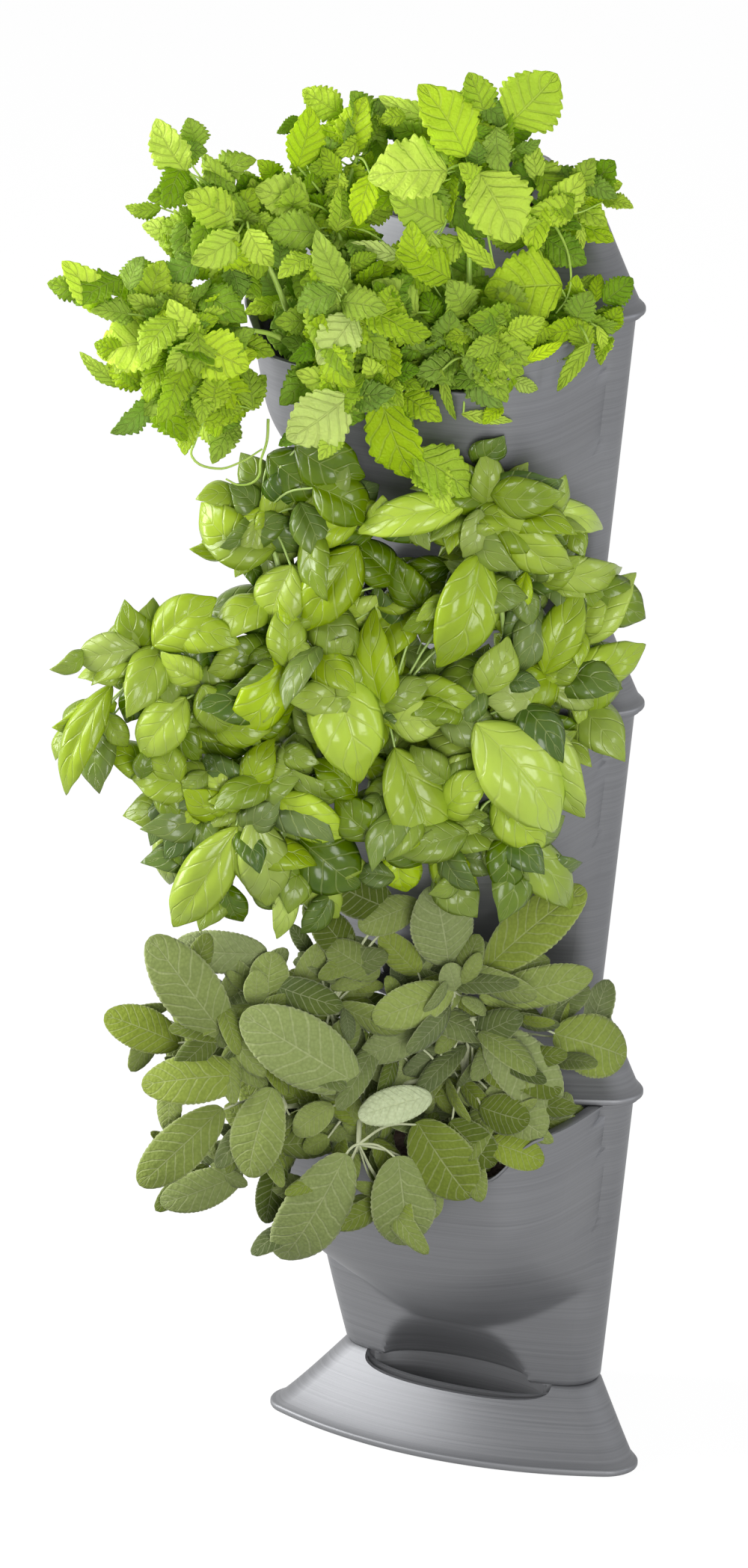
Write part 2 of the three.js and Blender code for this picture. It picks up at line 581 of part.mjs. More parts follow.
function stalkSolid(from, to, radius) {
  const along = to.clone().sub(from);
  const geometry = new THREE.CylinderGeometry(radius * 0.75, radius, along.length(), STEM_SIDES);
  geometry.translate(0, along.length() / 2, 0);
  geometry.applyQuaternion(new THREE.Quaternion().setFromUnitVectors(vector(0, 1, 0), along.normalize()));
  geometry.translate(from.x, from.y, from.z);
  return bareSolid(geometry);
}

// A sprig: stems from its root through its hubs, and its main leaves on stalks.
// A leaf that would run into a piece already placed is left off.
function sprigSolid(kind, sprig, blocked) {
  const ground = BASE_HEIGHT + LEVEL_PITCH * kind.level + SOIL_TOP + FIT_GAP;
  const root = vector(sprig.root[0], sprig.root[1], ground);
  const neck = root.clone().setZ(ground + STEM_FOOT);
  const hubs = sprig.hubs.map(([, ...place]) => fromSketch(...place));
  let solid = stalkSolid(root, neck, STEM_RADIUS);
  const join = (piece) => { solid = solid.add(piece); };
  sprig.hubs.forEach(([parent], i) => {
    const from = parent < 0 ? neck.clone().setZ(ground + STEM_FOOT / 2) : hubs[parent];
    join(stalkSolid(from, hubs[i], STEM_RADIUS));
  });
  sprig.leaves.forEach(([hub, ax, ay, ao, bx, by, bo, width], i) => {
    if (width * Math.hypot(bx - ax, by - ay) < MAIN_LEAF_AREA) return;
    const base = fromSketch(ax, ay, ao);
    const tip = fromSketch(bx, by, bo);
    const turn = THREE.MathUtils.degToRad(kind.roll) * Math.sin(2.4 * i + kind.level);
    const leaf = leafSolid(kind, base, tip, width / SKETCH_PER_MM, turn);
    const into = base.clone().lerp(tip, 0.12)
      .addScaledVector(leafAxes(base, tip, turn).normal, 4 * kind.arch * base.distanceTo(tip) * 0.1);
    const piece = leaf.add(stalkSolid(hubs[hub], into, STALK_RADIUS));
    if (blocked.some((other) => other.intersect(piece).volume() > 1e-4)) return;
    join(piece);
  });
  return solid;
}

const tower = new THREE.Group();
tower.name = 'vertical_planter_tower';

function add(name, geometry, material, lift = 0) {
  const moved = geometry.clone();
  moved.translate(0, 0, lift);
  moved.computeVertexNormals();
  const mesh = new THREE.Mesh(moved, material);
  mesh.name = name;
  tower.add(mesh);
  return mesh;
}

// A sloped collar: flange at the foot, slope up to the seam, socket wall and ledge inside.
function collar(height, lipDepth, overhang) {
  const slope = (z) => {
    const t = clamp01((z - FLANGE_HEIGHT) / (height - FLANGE_HEIGHT));
    const bend = t ** 0.86;
    const start = FLANGE_BEAD - overhang;
    return [POT_FOOT_SIDE_INSET * t + start * (1 - t), POT_FOOT_FRONT_INSET * bend + start * (1 - bend)];
  };
  const flangeRing = (inset, z) => flatRing(inset - overhang, inset - overhang, z);
  const at = (share, inset = 0) => {
    const z = FLANGE_HEIGHT + (height - FLANGE_HEIGHT) * share;
    const [side, fore] = slope(z);
    return flatRing(side + inset, fore + inset, z);
  };
  const plug = SPIGOT_INSET - FIT_GAP;
  const socketSide = POT_FOOT_SIDE_INSET + plug;
  const socketFore = POT_FOOT_FRONT_INSET + plug;
  const ledge = height - SPIGOT_DEPTH - FIT_GAP;
  const lipRing = (inset, z) => {
    const gap = WALL + LOCATING_LIP_GAP + inset;
    return flatRing(POT_TOP_SIDE_INSET + gap, POT_TOP_FRONT_INSET + gap, z);
  };
  const stepped = (side, fore, sideZ, foreZ) => outline(side, fore)
    .map(([x, y], i) => [x, y, isFront(i) ? foreZ : sideZ]);
  const heightAt = (share) => FLANGE_HEIGHT + (height - FLANGE_HEIGHT) * share;
  const under = (sideShare, foreShare) => {
    const [side, fore] = [slope(heightAt(sideShare))[0], slope(heightAt(foreShare))[1]];
    return stepped(side + WALL, fore + WALL, heightAt(sideShare), heightAt(foreShare));
  };
  const backSide = socketSide - WALL;
  const backFore = socketFore - WALL;
  const rings = [
    flangeRing(FLANGE_BEAD * 0.4, 0),
    flangeRing(0, FLANGE_HEIGHT * 0.25),
    flangeRing(0, FLANGE_HEIGHT * 0.75),
    flangeRing(FLANGE_BEAD * 0.5, FLANGE_HEIGHT),
    at(0.06), at(0.2), at(0.5), at(0.97),
    flatRing(POT_FOOT_SIDE_INSET + 0.7, POT_FOOT_FRONT_INSET + 0.7, height),
    flatRing(socketSide, socketFore, height - 0.4),
    flatRing(socketSide + SPIGOT_TAPER / 2, socketFore + SPIGOT_TAPER / 2, ledge),
    flatRing(socketSide + LEDGE_WIDTH, socketFore + LEDGE_WIDTH, ledge),
    flatRing(socketSide + LEDGE_WIDTH, socketFore + LEDGE_WIDTH, ledge - LEDGE_THICKNESS),
    flatRing(backSide, backFore, ledge - LEDGE_THICKNESS),
    stepped(backSide, backFore, heightAt(SEAM_SIDE_SHARE), heightAt(SEAM_FRONT_SHARE)),
    under(SEAM_SIDE_SHARE * 0.92, SEAM_FRONT_SHARE * 0.97),
    under(SEAM_SIDE_SHARE * 0.85, SEAM_FRONT_SHARE * 0.55),
    at(0.14, WALL),
  ];
  if (lipDepth > 0) {
    rings.push(
      lipRing(LOCATING_LIP_THICKNESS, FLANGE_HEIGHT),
      lipRing(LOCATING_LIP_THICKNESS, -lipDepth),
      lipRing(LOCATING_LIP_TAPER, -lipDepth),
      lipRing(0, 0),
    );
  } else {
    rings.push(flangeRing(FLANGE_BEAD + WALL, FLANGE_HEIGHT), flangeRing(FLANGE_BEAD + WALL, 0));
  }
  return toSolid(skin(rings, true))
    .subtract(archBlock(CRESCENT_HALF_WIDTH, -CRESCENT_DEPTH, height, FRONT_Y - 20, FRONT_Y + 60));
}

add('base_skirt', toGeometry(collar(BASE_HEIGHT, 0, 0).simplify(SHORTEST_EDGE)), shells);

// Tray that catches the water that runs down the stack.
const trayFoot = FLANGE_BEAD + WALL + FIT_GAP;
const trayInset = (t, wall) => [trayFoot + 2 * t + wall, trayFoot + 12 * t + wall];
const trayRing = (t, wall, z) => flatRing(...trayInset(t, wall), z);
add('base_tray', skin([
  trayRing(0, 1, 0),
  trayRing(0.1, 0, 1),
  trayRing(1, 0, TRAY_HEIGHT),
  trayRing(1, TRAY_WALL, TRAY_HEIGHT),
  trayRing(0.25, TRAY_WALL, TRAY_WALL),
], false), tray);

const potShares = [0.04, 0.09, 0.14, 0.2, 0.27, 0.35, 0.43, 0.52, 0.63, 0.8];
const innerShares = [0.97, 0.8, 0.63, 0.52, 0.43, 0.35, 0.27, 0.2, 0.12, 0.02];

// One pot: plug with drain holes, tapering wall, belly and dipping mouth with a rim band.
function potSolid() {
  const band = RIM_BAND_HEIGHT / POT_HEIGHT;
  const rings = [
    plugRing(SPIGOT_INSET + SPIGOT_TAPER + 1, FLOOR_LEVEL),
    plugRing(SPIGOT_INSET + SPIGOT_TAPER, FLOOR_LEVEL + 1),
    plugRing(SPIGOT_INSET, -1.2),
    plugRing(SPIGOT_INSET, FIT_GAP),
    plugRing(0.5, FIT_GAP),
    ...potShares.map((s) => potRing(s, 0)),
    potRing(1 - band, 0),
    potRing(1 - band, -RIM_BAND_OUT),
    potRing(1, -RIM_BAND_OUT),
    potRing(1, WALL),
    ...innerShares.map((s) => potRing(s, WALL)),
    plugRing(SPIGOT_INSET + WALL, -2),
    plugRing(SPIGOT_INSET + SPIGOT_TAPER + WALL, FLOOR_LEVEL + WALL),
  ];
  let solid = toSolid(skin(rings, false));
  for (const share of DRAIN_SHARES) {
    const [x, y] = plugPlace(share, SPIGOT_INSET + SPIGOT_TAPER + WALL);
    solid = solid.subtract(drum(DRAIN_RADIUS, 4 * WALL, x, y, FLOOR_LEVEL + WALL / 2));
  }
  return solid;
}

// Slotted grate that holds the soil clear of the drain holes.
function grateSolid() {
  const foot = FLOOR_LEVEL + WALL + FIT_GAP;
  const top = foot + GRATE_CLEARANCE;
  const inset = SPIGOT_INSET + SPIGOT_TAPER + WALL + GRATE_EDGE_GAP;
  let solid = toSolid(skin([plugRing(inset, top), plugRing(inset, top + GRATE_THICKNESS)], false));
  const footHeight = GRATE_CLEARANCE + GRATE_THICKNESS / 2;
  for (const share of FOOT_SHARES) {
    solid = solid.add(block(GRATE_FOOT, GRATE_FOOT, footHeight, ...plugPlace(share, inset), foot + footHeight / 2));
  }
  for (let i = 0; i < GRATE_SLOTS; i += 1) {
    const x = (i - (GRATE_SLOTS - 1) / 2) * GRATE_SLOT_PITCH;
    const [front, back] = plugSpan(Math.abs(x) + GRATE_SLOT_WIDTH / 2, inset);
    const length = back - front - 2 * GRATE_RIM;
    const cut = 4 * GRATE_THICKNESS;
    solid = solid.subtract(block(GRATE_SLOT_WIDTH, length, cut, x, (front + back) / 2, top + cut / 2 - WALL / 2));
  }
  return solid;
}

// Soil that fills a pot to below its lip.
function soilSolid() {
  const bottom = FLOOR_LEVEL + WALL + FIT_GAP + GRATE_CLEARANCE + GRATE_THICKNESS + FIT_GAP;
  const inset = WALL + SOIL_CLEARANCE;
  const below = innerShares.filter((s) => s < 0.9).reverse();
  const filled = toSolid(skin([
    plugRing(SPIGOT_INSET + SPIGOT_TAPER + WALL + SOIL_CLEARANCE, bottom),
    plugRing(SPIGOT_INSET + WALL + SOIL_CLEARANCE, -2),
    ...below.map((s) => potRing(s, inset)),
    potRing(0.97, inset),
  ], false));
  return filled.trimByPlane([0, 0, -1], SOIL_DEPTH_BELOW_LIP - MOUTH_LIP_HEIGHT);
}

const pot = toGeometry(potSolid());
const hood = toGeometry(collar(HOOD_HEIGHT, LOCATING_LIP_DEPTH, HOOD_OVERHANG)
  .subtract(archBlock(ARCH_HALF_WIDTH, ARCH_HEIGHT, -2 * FLANGE_HEIGHT, FRONT_Y - 20, FRONT_Y + 31))
  .simplify(SHORTEST_EDGE));
const grate = toGeometry(grateSolid());
const fill = toGeometry(soilSolid());
const LEVELS = ['lower', 'middle', 'upper'];
LEVELS.forEach((level, k) => {
  const foot = BASE_HEIGHT + LEVEL_PITCH * k;
  add(`pot_${level}`, pot, shells, foot);
  add(`drain_grate_${level}`, grate, grates, foot);
  add(`soil_${level}`, fill, soil, foot);
  add(`hood_${level}`, hood, shells, foot + LEVEL_PITCH - HOOD_HEIGHT);
});

const shellSolids = tower.children.map((mesh) => toSolid(mesh.geometry));
for (const [plant, kind] of Object.entries({ lemon_balm: balm, basil, sage })) {
  const look = { color: kind.material, roughness: 0.6, side: THREE.DoubleSide };
  const material = new THREE.MeshStandardMaterial(look);
  for (const [side, sprig] of Object.entries(kind.sprigs)) {
    const solid = sprigSolid(kind, sprig, shellSolids);
    shellSolids.push(solid);
    add(`${plant}_${side}`, toGeometry(solid), material);
  }
}

export default tower;
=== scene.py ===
import bpy, math, random
import numpy as np
from mathutils import Matrix, Vector


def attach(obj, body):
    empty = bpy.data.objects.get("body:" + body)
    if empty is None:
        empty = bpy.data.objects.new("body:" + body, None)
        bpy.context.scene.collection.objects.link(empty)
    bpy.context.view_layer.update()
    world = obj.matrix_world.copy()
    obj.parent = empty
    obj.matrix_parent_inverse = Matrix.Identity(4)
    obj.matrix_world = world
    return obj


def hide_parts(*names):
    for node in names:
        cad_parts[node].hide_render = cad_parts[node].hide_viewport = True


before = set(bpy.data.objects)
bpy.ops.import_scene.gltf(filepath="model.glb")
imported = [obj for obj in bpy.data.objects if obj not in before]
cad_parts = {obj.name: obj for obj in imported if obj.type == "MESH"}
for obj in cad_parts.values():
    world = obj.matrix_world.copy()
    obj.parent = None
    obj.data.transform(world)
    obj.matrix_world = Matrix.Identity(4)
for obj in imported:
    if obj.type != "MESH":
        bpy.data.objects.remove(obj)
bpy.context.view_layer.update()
scene = bpy.context.scene


# Camera: a long studio lens that looks at the tower's front right quarter from above.
# The leaves are placed on the same view further down, so its numbers stay in millimetres.
MM = 0.001
AZIMUTH, ELEVATION, ROLL = math.radians(26.62), math.radians(21.86), math.radians(-0.17)
DISTANCE, LENS, SENSOR = 8270.0, 393.1, 36.0
AIM = Vector((-63.59, 10.91, 313.74))
FRAME_SIZE = (1000, 2097)
BACK = Vector((math.sin(AZIMUTH) * math.cos(ELEVATION), -math.cos(AZIMUTH) * math.cos(ELEVATION),
               math.sin(ELEVATION)))
LEVEL_RIGHT = Vector((math.cos(AZIMUTH), math.sin(AZIMUTH), 0))
LEVEL_UP = BACK.cross(LEVEL_RIGHT)
TOWARDS = Vector((math.sin(AZIMUTH), -math.cos(AZIMUTH), 0))
RIGHT = LEVEL_RIGHT * math.cos(ROLL) + LEVEL_UP * math.sin(ROLL)
UP = BACK.cross(RIGHT)
EYE = AIM + BACK * DISTANCE

bpy.ops.object.camera_add(location=EYE * MM)
camera = bpy.context.object
camera.name = "studio_camera"
camera.data.lens, camera.data.sensor_width = LENS, SENSOR
camera.data.clip_start, camera.data.clip_end = 0.5, 40
camera.rotation_euler = Matrix([[RIGHT[i], UP[i], BACK[i]] for i in range(3)]).to_euler()
scene.camera = camera
scene.view_settings.view_transform = "Standard"


def hex_colour(text):
    """sRGB hex to the linear numbers that sockets take."""
    parts = [int(text[i:i + 2], 16) / 255 for i in (1, 3, 5)]
    return [c / 12.92 if c <= 0.04045 else ((c + 0.055) / 1.055) ** 2.4 for c in parts] + [1.0]


def put(tree, kind, settings=None, sockets=None):
    """Add one node: settings are its properties, sockets its inputs, as values or as other nodes' outputs."""
    made = tree.nodes.new(kind)
    for key, value in (settings or {}).items():
        setattr(made, key, value)
    for key, value in (sockets or {}).items():
        if isinstance(value, bpy.types.NodeSocket):
            tree.links.new(value, made.inputs[key])
        else:
            made.inputs[key].default_value = value
    return made


def blank_material(name):
    material = bpy.data.materials.new(name)
    material.use_nodes = True
    material.node_tree.nodes.clear()
    return material


def deselect():
    if bpy.context.object and bpy.context.object.mode != "OBJECT":
        bpy.ops.object.mode_set(mode="OBJECT")
    bpy.ops.object.select_all(action="DESELECT")


def pick(*objects):
    """Leave just these objects selected, the first one active."""
    deselect()
    for item in objects:
        item.select_set(True)
    bpy.context.view_layer.objects.active = objects[0]


# Studio floor and sky: a white painted sweep that photographs white under soft light.
# Only the camera and what a surface mirrors see it glow; it keeps the planter's own soft shadow.
WHITE = "#ffffff"
PAINT_GLOW = 0.95
SKY_LEVEL = 0.2


def seen_white(tree):
    """One for the rays that see the studio itself: the camera's, a gloss's and those let through."""
    path = put(tree, "ShaderNodeLightPath")
    clear = put(tree, "ShaderNodeMath", {"operation": "MAXIMUM"},
                {0: path.outputs["Is Camera Ray"], 1: path.outputs["Is Transmission Ray"]})
    return put(tree, "ShaderNodeMath", {"operation": "MAXIMUM"},
               {0: clear.outputs[0], 1: path.outputs["Is Glossy Ray"]}).outputs[0]


def painted_sweep():
    """Matt white studio paint, rolled."""
    material = blank_material("white_studio_paint")
    tree = material.node_tree
    seen = seen_white(tree)
    lift = put(tree, "ShaderNodeMath", {"operation": "MULTIPLY"}, {0: seen, 1: PAINT_GLOW})
    paint = put(tree, "ShaderNodeBsdfDiffuse", None, {"Color": hex_colour("#5a5a5a")})
    glow = put(tree, "ShaderNodeEmission", None, {"Color": hex_colour(WHITE), "Strength": lift.outputs[0]})
    both = put(tree, "ShaderNodeAddShader", None, {0: paint.outputs[0], 1: glow.outputs[0]})
    put(tree, "ShaderNodeOutputMaterial", None, {"Surface": both.outputs[0]})
    return material


deselect()
bpy.ops.mesh.primitive_plane_add(size=40, location=(0, 0, -0.0005))
floor = bpy.context.object
floor.name = "studio_floor"
bpy.ops.object.transform_apply(location=True, rotation=True, scale=True)
floor.data.materials.append(painted_sweep())

world = bpy.data.worlds.new("soft_sky")
scene.world = world
world.use_nodes = True
world.node_tree.nodes.clear()
sky_strength = put(world.node_tree, "ShaderNodeMapRange", None,
                   {"Value": seen_white(world.node_tree), "To Min": SKY_LEVEL, "To Max": 1.0})
sky = put(world.node_tree, "ShaderNodeBackground", None,
          {"Color": hex_colour(WHITE), "Strength": sky_strength.outputs[0]})
put(world.node_tree, "ShaderNodeOutputWorld", None, {"Surface": sky.outputs[0]})


# Studio lights: a tall soft box low on the left, the key above it, one beside the camera on the right,
# and a narrow strip further round. Each is aimed at the tower's middle and is large enough for soft shadows.
TOWER_MIDDLE = Vector((0, 0, 0.32))


def softbox(name, azimuth, elevation, distance, width, height, watts, tint):
    a, e = math.radians(azimuth), math.radians(elevation)
    away = Vector((math.sin(a) * math.cos(e), -math.cos(a) * math.cos(e), math.sin(e)))
    bpy.ops.object.light_add(type="AREA", location=TOWER_MIDDLE + away * distance)
    lamp = bpy.context.object
    lamp.name = name
    lamp.data.shape = "RECTANGLE"
    lamp.data.size, lamp.data.size_y = width, height
    lamp.data.energy = watts
    lamp.data.color = hex_colour(tint)[:3]
    lamp.rotation_euler = away.to_track_quat("Z", "Y").to_euler()


softbox("left_softbox", -68, 4, 1.8, 0.6, 1.3, 34, "#ffffff")
softbox("key_softbox", -58, 36, 2.0, 1.2, 1.0, 30, "#ffffff")
softbox("front_softbox", 36, 6, 2.2, 0.9, 1.2, 32, "#ffffff")
softbox("right_softbox", 96, 14, 1.7, 0.35, 1.5, 9, "#f4f7ff")


# Moulded shells: the pots, their hoods and the base are injection moulded polypropylene with a silver
# pigment. The steel mould was brushed along, which leaves a fine level grain and a satin metal sheen.
SIDE_LENGTH, FRONT_RADIUS, CORNER_RADIUS = 153.0, 221.0, 15.0
BACK_CORNER_Y = 72.0
LEVEL_PITCH, BASE_HEIGHT, HOOD_HEIGHT = 200.0, 33.0, 37.5
FIT_GAP, WALL = 0.3, 2.2
HALF_CHORD = SIDE_LENGTH * math.sqrt(0.5)
ARC_CENTRE_Y = BACK_CORNER_Y - HALF_CHORD + math.sqrt(FRONT_RADIUS ** 2 - HALF_CHORD ** 2)
FRONT_Y = ARC_CENTRE_Y - FRONT_RADIUS
POT_HEIGHT = LEVEL_PITCH - HOOD_HEIGHT - FIT_GAP
CORNER_STEPS, FRONT_STEPS = 12, 72
LEVELS = ("lower", "middle", "upper")


def plan(side_inset, front_inset):
    """Plan outline in millimetres, from the front right corner round the back, moved in from the flange."""
    diagonal = math.sqrt(0.5)
    shift = -(side_inset + CORNER_RADIUS)
    qx, qy = shift * diagonal, shift * diagonal + BACK_CORNER_Y - ARC_CENTRE_Y
    reach = FRONT_RADIUS - front_inset - CORNER_RADIUS
    b = (qx - qy) * diagonal
    along = -b + math.sqrt(b * b - (qx * qx + qy * qy - reach * reach))
    cx, cy = qx + along * diagonal, qy - along * diagonal + ARC_CENTRE_Y
    start = math.atan2(cy - ARC_CENTRE_Y, cx)
    back_y = BACK_CORNER_Y - (side_inset + CORNER_RADIUS) / diagonal
    points = []
    for x, y, a0, a1 in ((cx, cy, start, math.pi / 4), (0, back_y, math.pi / 4, 3 * math.pi / 4),
                         (-cx, cy, 3 * math.pi / 4, math.pi - start)):
        for i in range(CORNER_STEPS + 1):
            a = a0 + (a1 - a0) * i / CORNER_STEPS
            points.append((x + CORNER_RADIUS * math.cos(a), y + CORNER_RADIUS * math.sin(a)))
    half, radius = start + math.pi / 2, FRONT_RADIUS - front_inset
    for i in range(1, FRONT_STEPS):
        a = -math.pi / 2 + half * math.sin((-1 + 2 * i / FRONT_STEPS) * math.pi / 2)
        points.append((radius * math.cos(a), ARC_CENTRE_Y + radius * math.sin(a)))
    return points


def at_front(i):
    """Whether a plan point lies on the front arc or the front half of a front corner."""
    return i < CORNER_STEPS * 0.4 or i > 3 * (CORNER_STEPS + 1) - 1 - CORNER_STEPS * 0.4


def ring(side_inset, front_inset, z):
    return [(x, y, z) for x, y in plan(side_inset, front_inset)]


def wrap(name, rings, loops_back=False):
    """Wrap a sheet of quads round a stack of rings: a grid primitive, one row to a ring, sewn at its seam."""
    deselect()
    count = len(rings[0])
    rows = rings + [rings[0]] if loops_back else rings
    bpy.ops.mesh.primitive_grid_add(x_subdivisions=count, y_subdivisions=len(rows) - 1, size=1)
    shell = bpy.context.object
    shell.name = name
    places = [Vector(p) * MM for row in rows for p in row + [row[0]]]
    for vertex, place in zip(shell.data.vertices, places):
        vertex.co = place
    bpy.ops.object.transform_apply(location=True, rotation=True, scale=True)
    bpy.ops.object.mode_set(mode="EDIT")
    bpy.ops.mesh.select_all(action="SELECT")
    bpy.ops.mesh.remove_doubles(threshold=0.00001)
    if not loops_back:
        bpy.ops.mesh.select_all(action="DESELECT")
        bpy.ops.mesh.select_non_manifold()
        bpy.ops.mesh.fill()
        bpy.ops.mesh.select_all(action="SELECT")
    bpy.ops.mesh.normals_make_consistent(inside=False)
    bpy.ops.object.mode_set(mode="OBJECT")
    bpy.ops.object.shade_smooth_by_angle(angle=math.radians(34))
    return shell


def cut(body, cutter):
    """Cut one solid out of another and drop the cutter."""
    pick(body)
    trim = body.modifiers.new("cut", "BOOLEAN")
    trim.object, trim.operation, trim.solver = cutter, "DIFFERENCE", "MANIFOLD"
    bpy.ops.object.modifier_apply(modifier=trim.name)
    bpy.data.objects.remove(cutter)


def moulded_polypropylene():
    """Silver pigmented polypropylene: satin, part metallic; its brush grain is drawn 0.7 mm high to show."""
    material = blank_material("moulded_polypropylene")
    tree = material.node_tree
    place = put(tree, "ShaderNodeTexCoord")
    drawn = put(tree, "ShaderNodeMapping", None, {"Vector": place.outputs["Object"], "Scale": (7, 7, 1500)})
    grain = put(tree, "ShaderNodeTexNoise", None, {"Vector": drawn.outputs[0], "Scale": 1.0, "Detail": 3.0})
    wide = put(tree, "ShaderNodeTexNoise", None, {
        "Vector": place.outputs["Object"], "Scale": 9.0, "Detail": 1.0})
    tone = put(tree, "ShaderNodeMix", {"data_type": "RGBA"}, {
        0: grain.outputs["Fac"], 6: hex_colour("#707173"), 7: hex_colour("#8e8f91")})
    worn = put(tree, "ShaderNodeMix", {"data_type": "RGBA", "blend_type": "MULTIPLY"}, {
        0: 0.35, 6: tone.outputs[2], 7: hex_colour("#d8d8da")})
    tree.links.new(wide.outputs["Fac"], worn.inputs[0])
    gloss = put(tree, "ShaderNodeMapRange", None, {
        "Value": grain.outputs["Fac"], "To Min": 0.46, "To Max": 0.6})
    relief = put(tree, "ShaderNodeBump", None, {
        "Strength": 0.18, "Distance": 0.0003, "Height": grain.outputs["Fac"]})
    skin = put(tree, "ShaderNodeBsdfPrincipled", None, {
        "Base Color": worn.outputs[2], "Roughness": gloss.outputs[0], "Metallic": 0.75, "IOR": 1.49,
        "Normal": relief.outputs[0]})
    put(tree, "ShaderNodeOutputMaterial", None, {"Surface": skin.outputs[0]})
    return material


polypropylene = moulded_polypropylene()


# Pot: one moulding with a plug that sits in the hood or base below, a tapering wall, a planting
# mouth that bulges out of the front and dips at its lip, and a thumb recess at the wall's foot.
POT_TOP_INSETS, POT_FOOT_INSETS = (1.2, 2.4), (6.0, 32.0)
RIM_BAND_HEIGHT, RIM_BAND_OUT = 2.4, 1.8
SPIGOT_DEPTH, SPIGOT_INSET, SPIGOT_TAPER = 18.0, 2.5, 0.6
MOUTH_HALF_WIDTH, MOUTH_FOOT_HALF_WIDTH, MOUTH_LIP_HEIGHT, MOUTH_REACH = 84.0, 66.0, 142.0, 54.0
MOUTH_SQUARENESS = 12
BELLY_START_SIDE, BELLY_START_MIDDLE, BELLY_RISE = 58.0, 27.0, 64.0
MOUTH_BEND_SHARE, MOUTH_FLAT_SHARE = 0.93, 0.66
RECESS_HALF_WIDTH, RECESS_HEIGHT, RECESS_DEPTH, RECESS_SOFTNESS = 38.0, 37.0, 18.0, 1.2
DRAIN_RADIUS = 3.0
DRAIN_SHARES = ((0, 0.2), (-0.46, 0.3), (0.46, 0.3), (-0.25, 0.62), (0.25, 0.62), (-0.7, 0.45), (0.7, 0.45))
MOUTH_EDGE_THICKENING, RECESS_EDGE_THICKENING = 1.45, 2.4
INNER_RING_SHARES = (0.97, 0.93, 0.88, 0.8, 0.72, 0.63, 0.57, 0.52, 0.47, 0.43, 0.39, 0.35, 0.31,
                     0.27, 0.23, 0.19, 0.15, 0.11, 0.07, 0.02)


def ease(t):
    c = min(1.0, max(0.0, t))
    return c * c * (3 - 2 * c)


def mouth_push(x, z, inset):
    """How far the mouth's belly stands out of the front wall."""
    reach = MOUTH_FOOT_HALF_WIDTH + (MOUTH_HALF_WIDTH - MOUTH_FOOT_HALF_WIDTH) * z / MOUTH_LIP_HEIGHT
    u = abs(x) / (min(reach, MOUTH_HALF_WIDTH) - inset * MOUTH_EDGE_THICKENING)
    if u >= 1:
        return 0
    start = BELLY_START_MIDDLE + (BELLY_START_SIDE - BELLY_START_MIDDLE) * u * u
    swell = math.sin(min(1, max(0, (z - start) / BELLY_RISE)) * math.pi / 2) ** 1.3
    return MOUTH_REACH * math.sqrt(1 - u ** MOUTH_SQUARENESS) * swell


def recess_pull(x, z, inset):
    """How far the thumb recess goes into the foot of the front wall."""
    u = abs(x) / (RECESS_HALF_WIDTH + inset * RECESS_EDGE_THICKENING)
    if u >= 1:
        return 0
    arch = math.sqrt(1 - u * u)
    return RECESS_DEPTH * arch ** RECESS_SOFTNESS * ease(1 - z / ((RECESS_HEIGHT + inset) * arch))


def rim_height(x, front):
    if not front:
        return POT_HEIGHT
    u = abs(x) / MOUTH_HALF_WIDTH
    return POT_HEIGHT - (POT_HEIGHT - MOUTH_LIP_HEIGHT) * (
        1 - ease((u - MOUTH_FLAT_SHARE) / (MOUTH_BEND_SHARE - MOUTH_FLAT_SHARE)))


def pot_ring(share, inset, lift=0.0):
    side, fore = (f + (t - f) * share + inset for f, t in zip(POT_FOOT_INSETS, POT_TOP_INSETS))
    points = []
    for i, (x, y) in enumerate(plan(side, fore)):
        front = at_front(i)
        z = share * rim_height(x, front) + lift
        points.append((x, y - mouth_push(x, z, inset) + recess_pull(x, z, inset), z) if front else (x, y, z))
    return points


def plug_ring(inset, z):
    return [(x, y + recess_pull(x, 0, inset) if at_front(i) else y, z)
            for i, (x, y) in enumerate(plan(POT_FOOT_INSETS[0] + inset, POT_FOOT_INSETS[1] + inset))]


def plug_place(across_share, depth_share, inset):
    """A place on the plug's floor, as shares of its half width and of its depth there."""
    x = across_share * max(across for across, _, _ in plug_ring(inset, 0))
    radius = FRONT_RADIUS - POT_FOOT_INSETS[1] - inset
    front = ARC_CENTRE_Y - math.sqrt(radius ** 2 - x ** 2) + recess_pull(x, 0, inset)
    back = BACK_CORNER_Y - (POT_FOOT_INSETS[0] + inset) * math.sqrt(2) - abs(x)
    if abs(x) < CORNER_RADIUS * math.sqrt(0.5):
        back += abs(x) - CORNER_RADIUS * math.sqrt(2) + math.sqrt(CORNER_RADIUS ** 2 - x ** 2)
    return x, front + depth_share * (back - front)


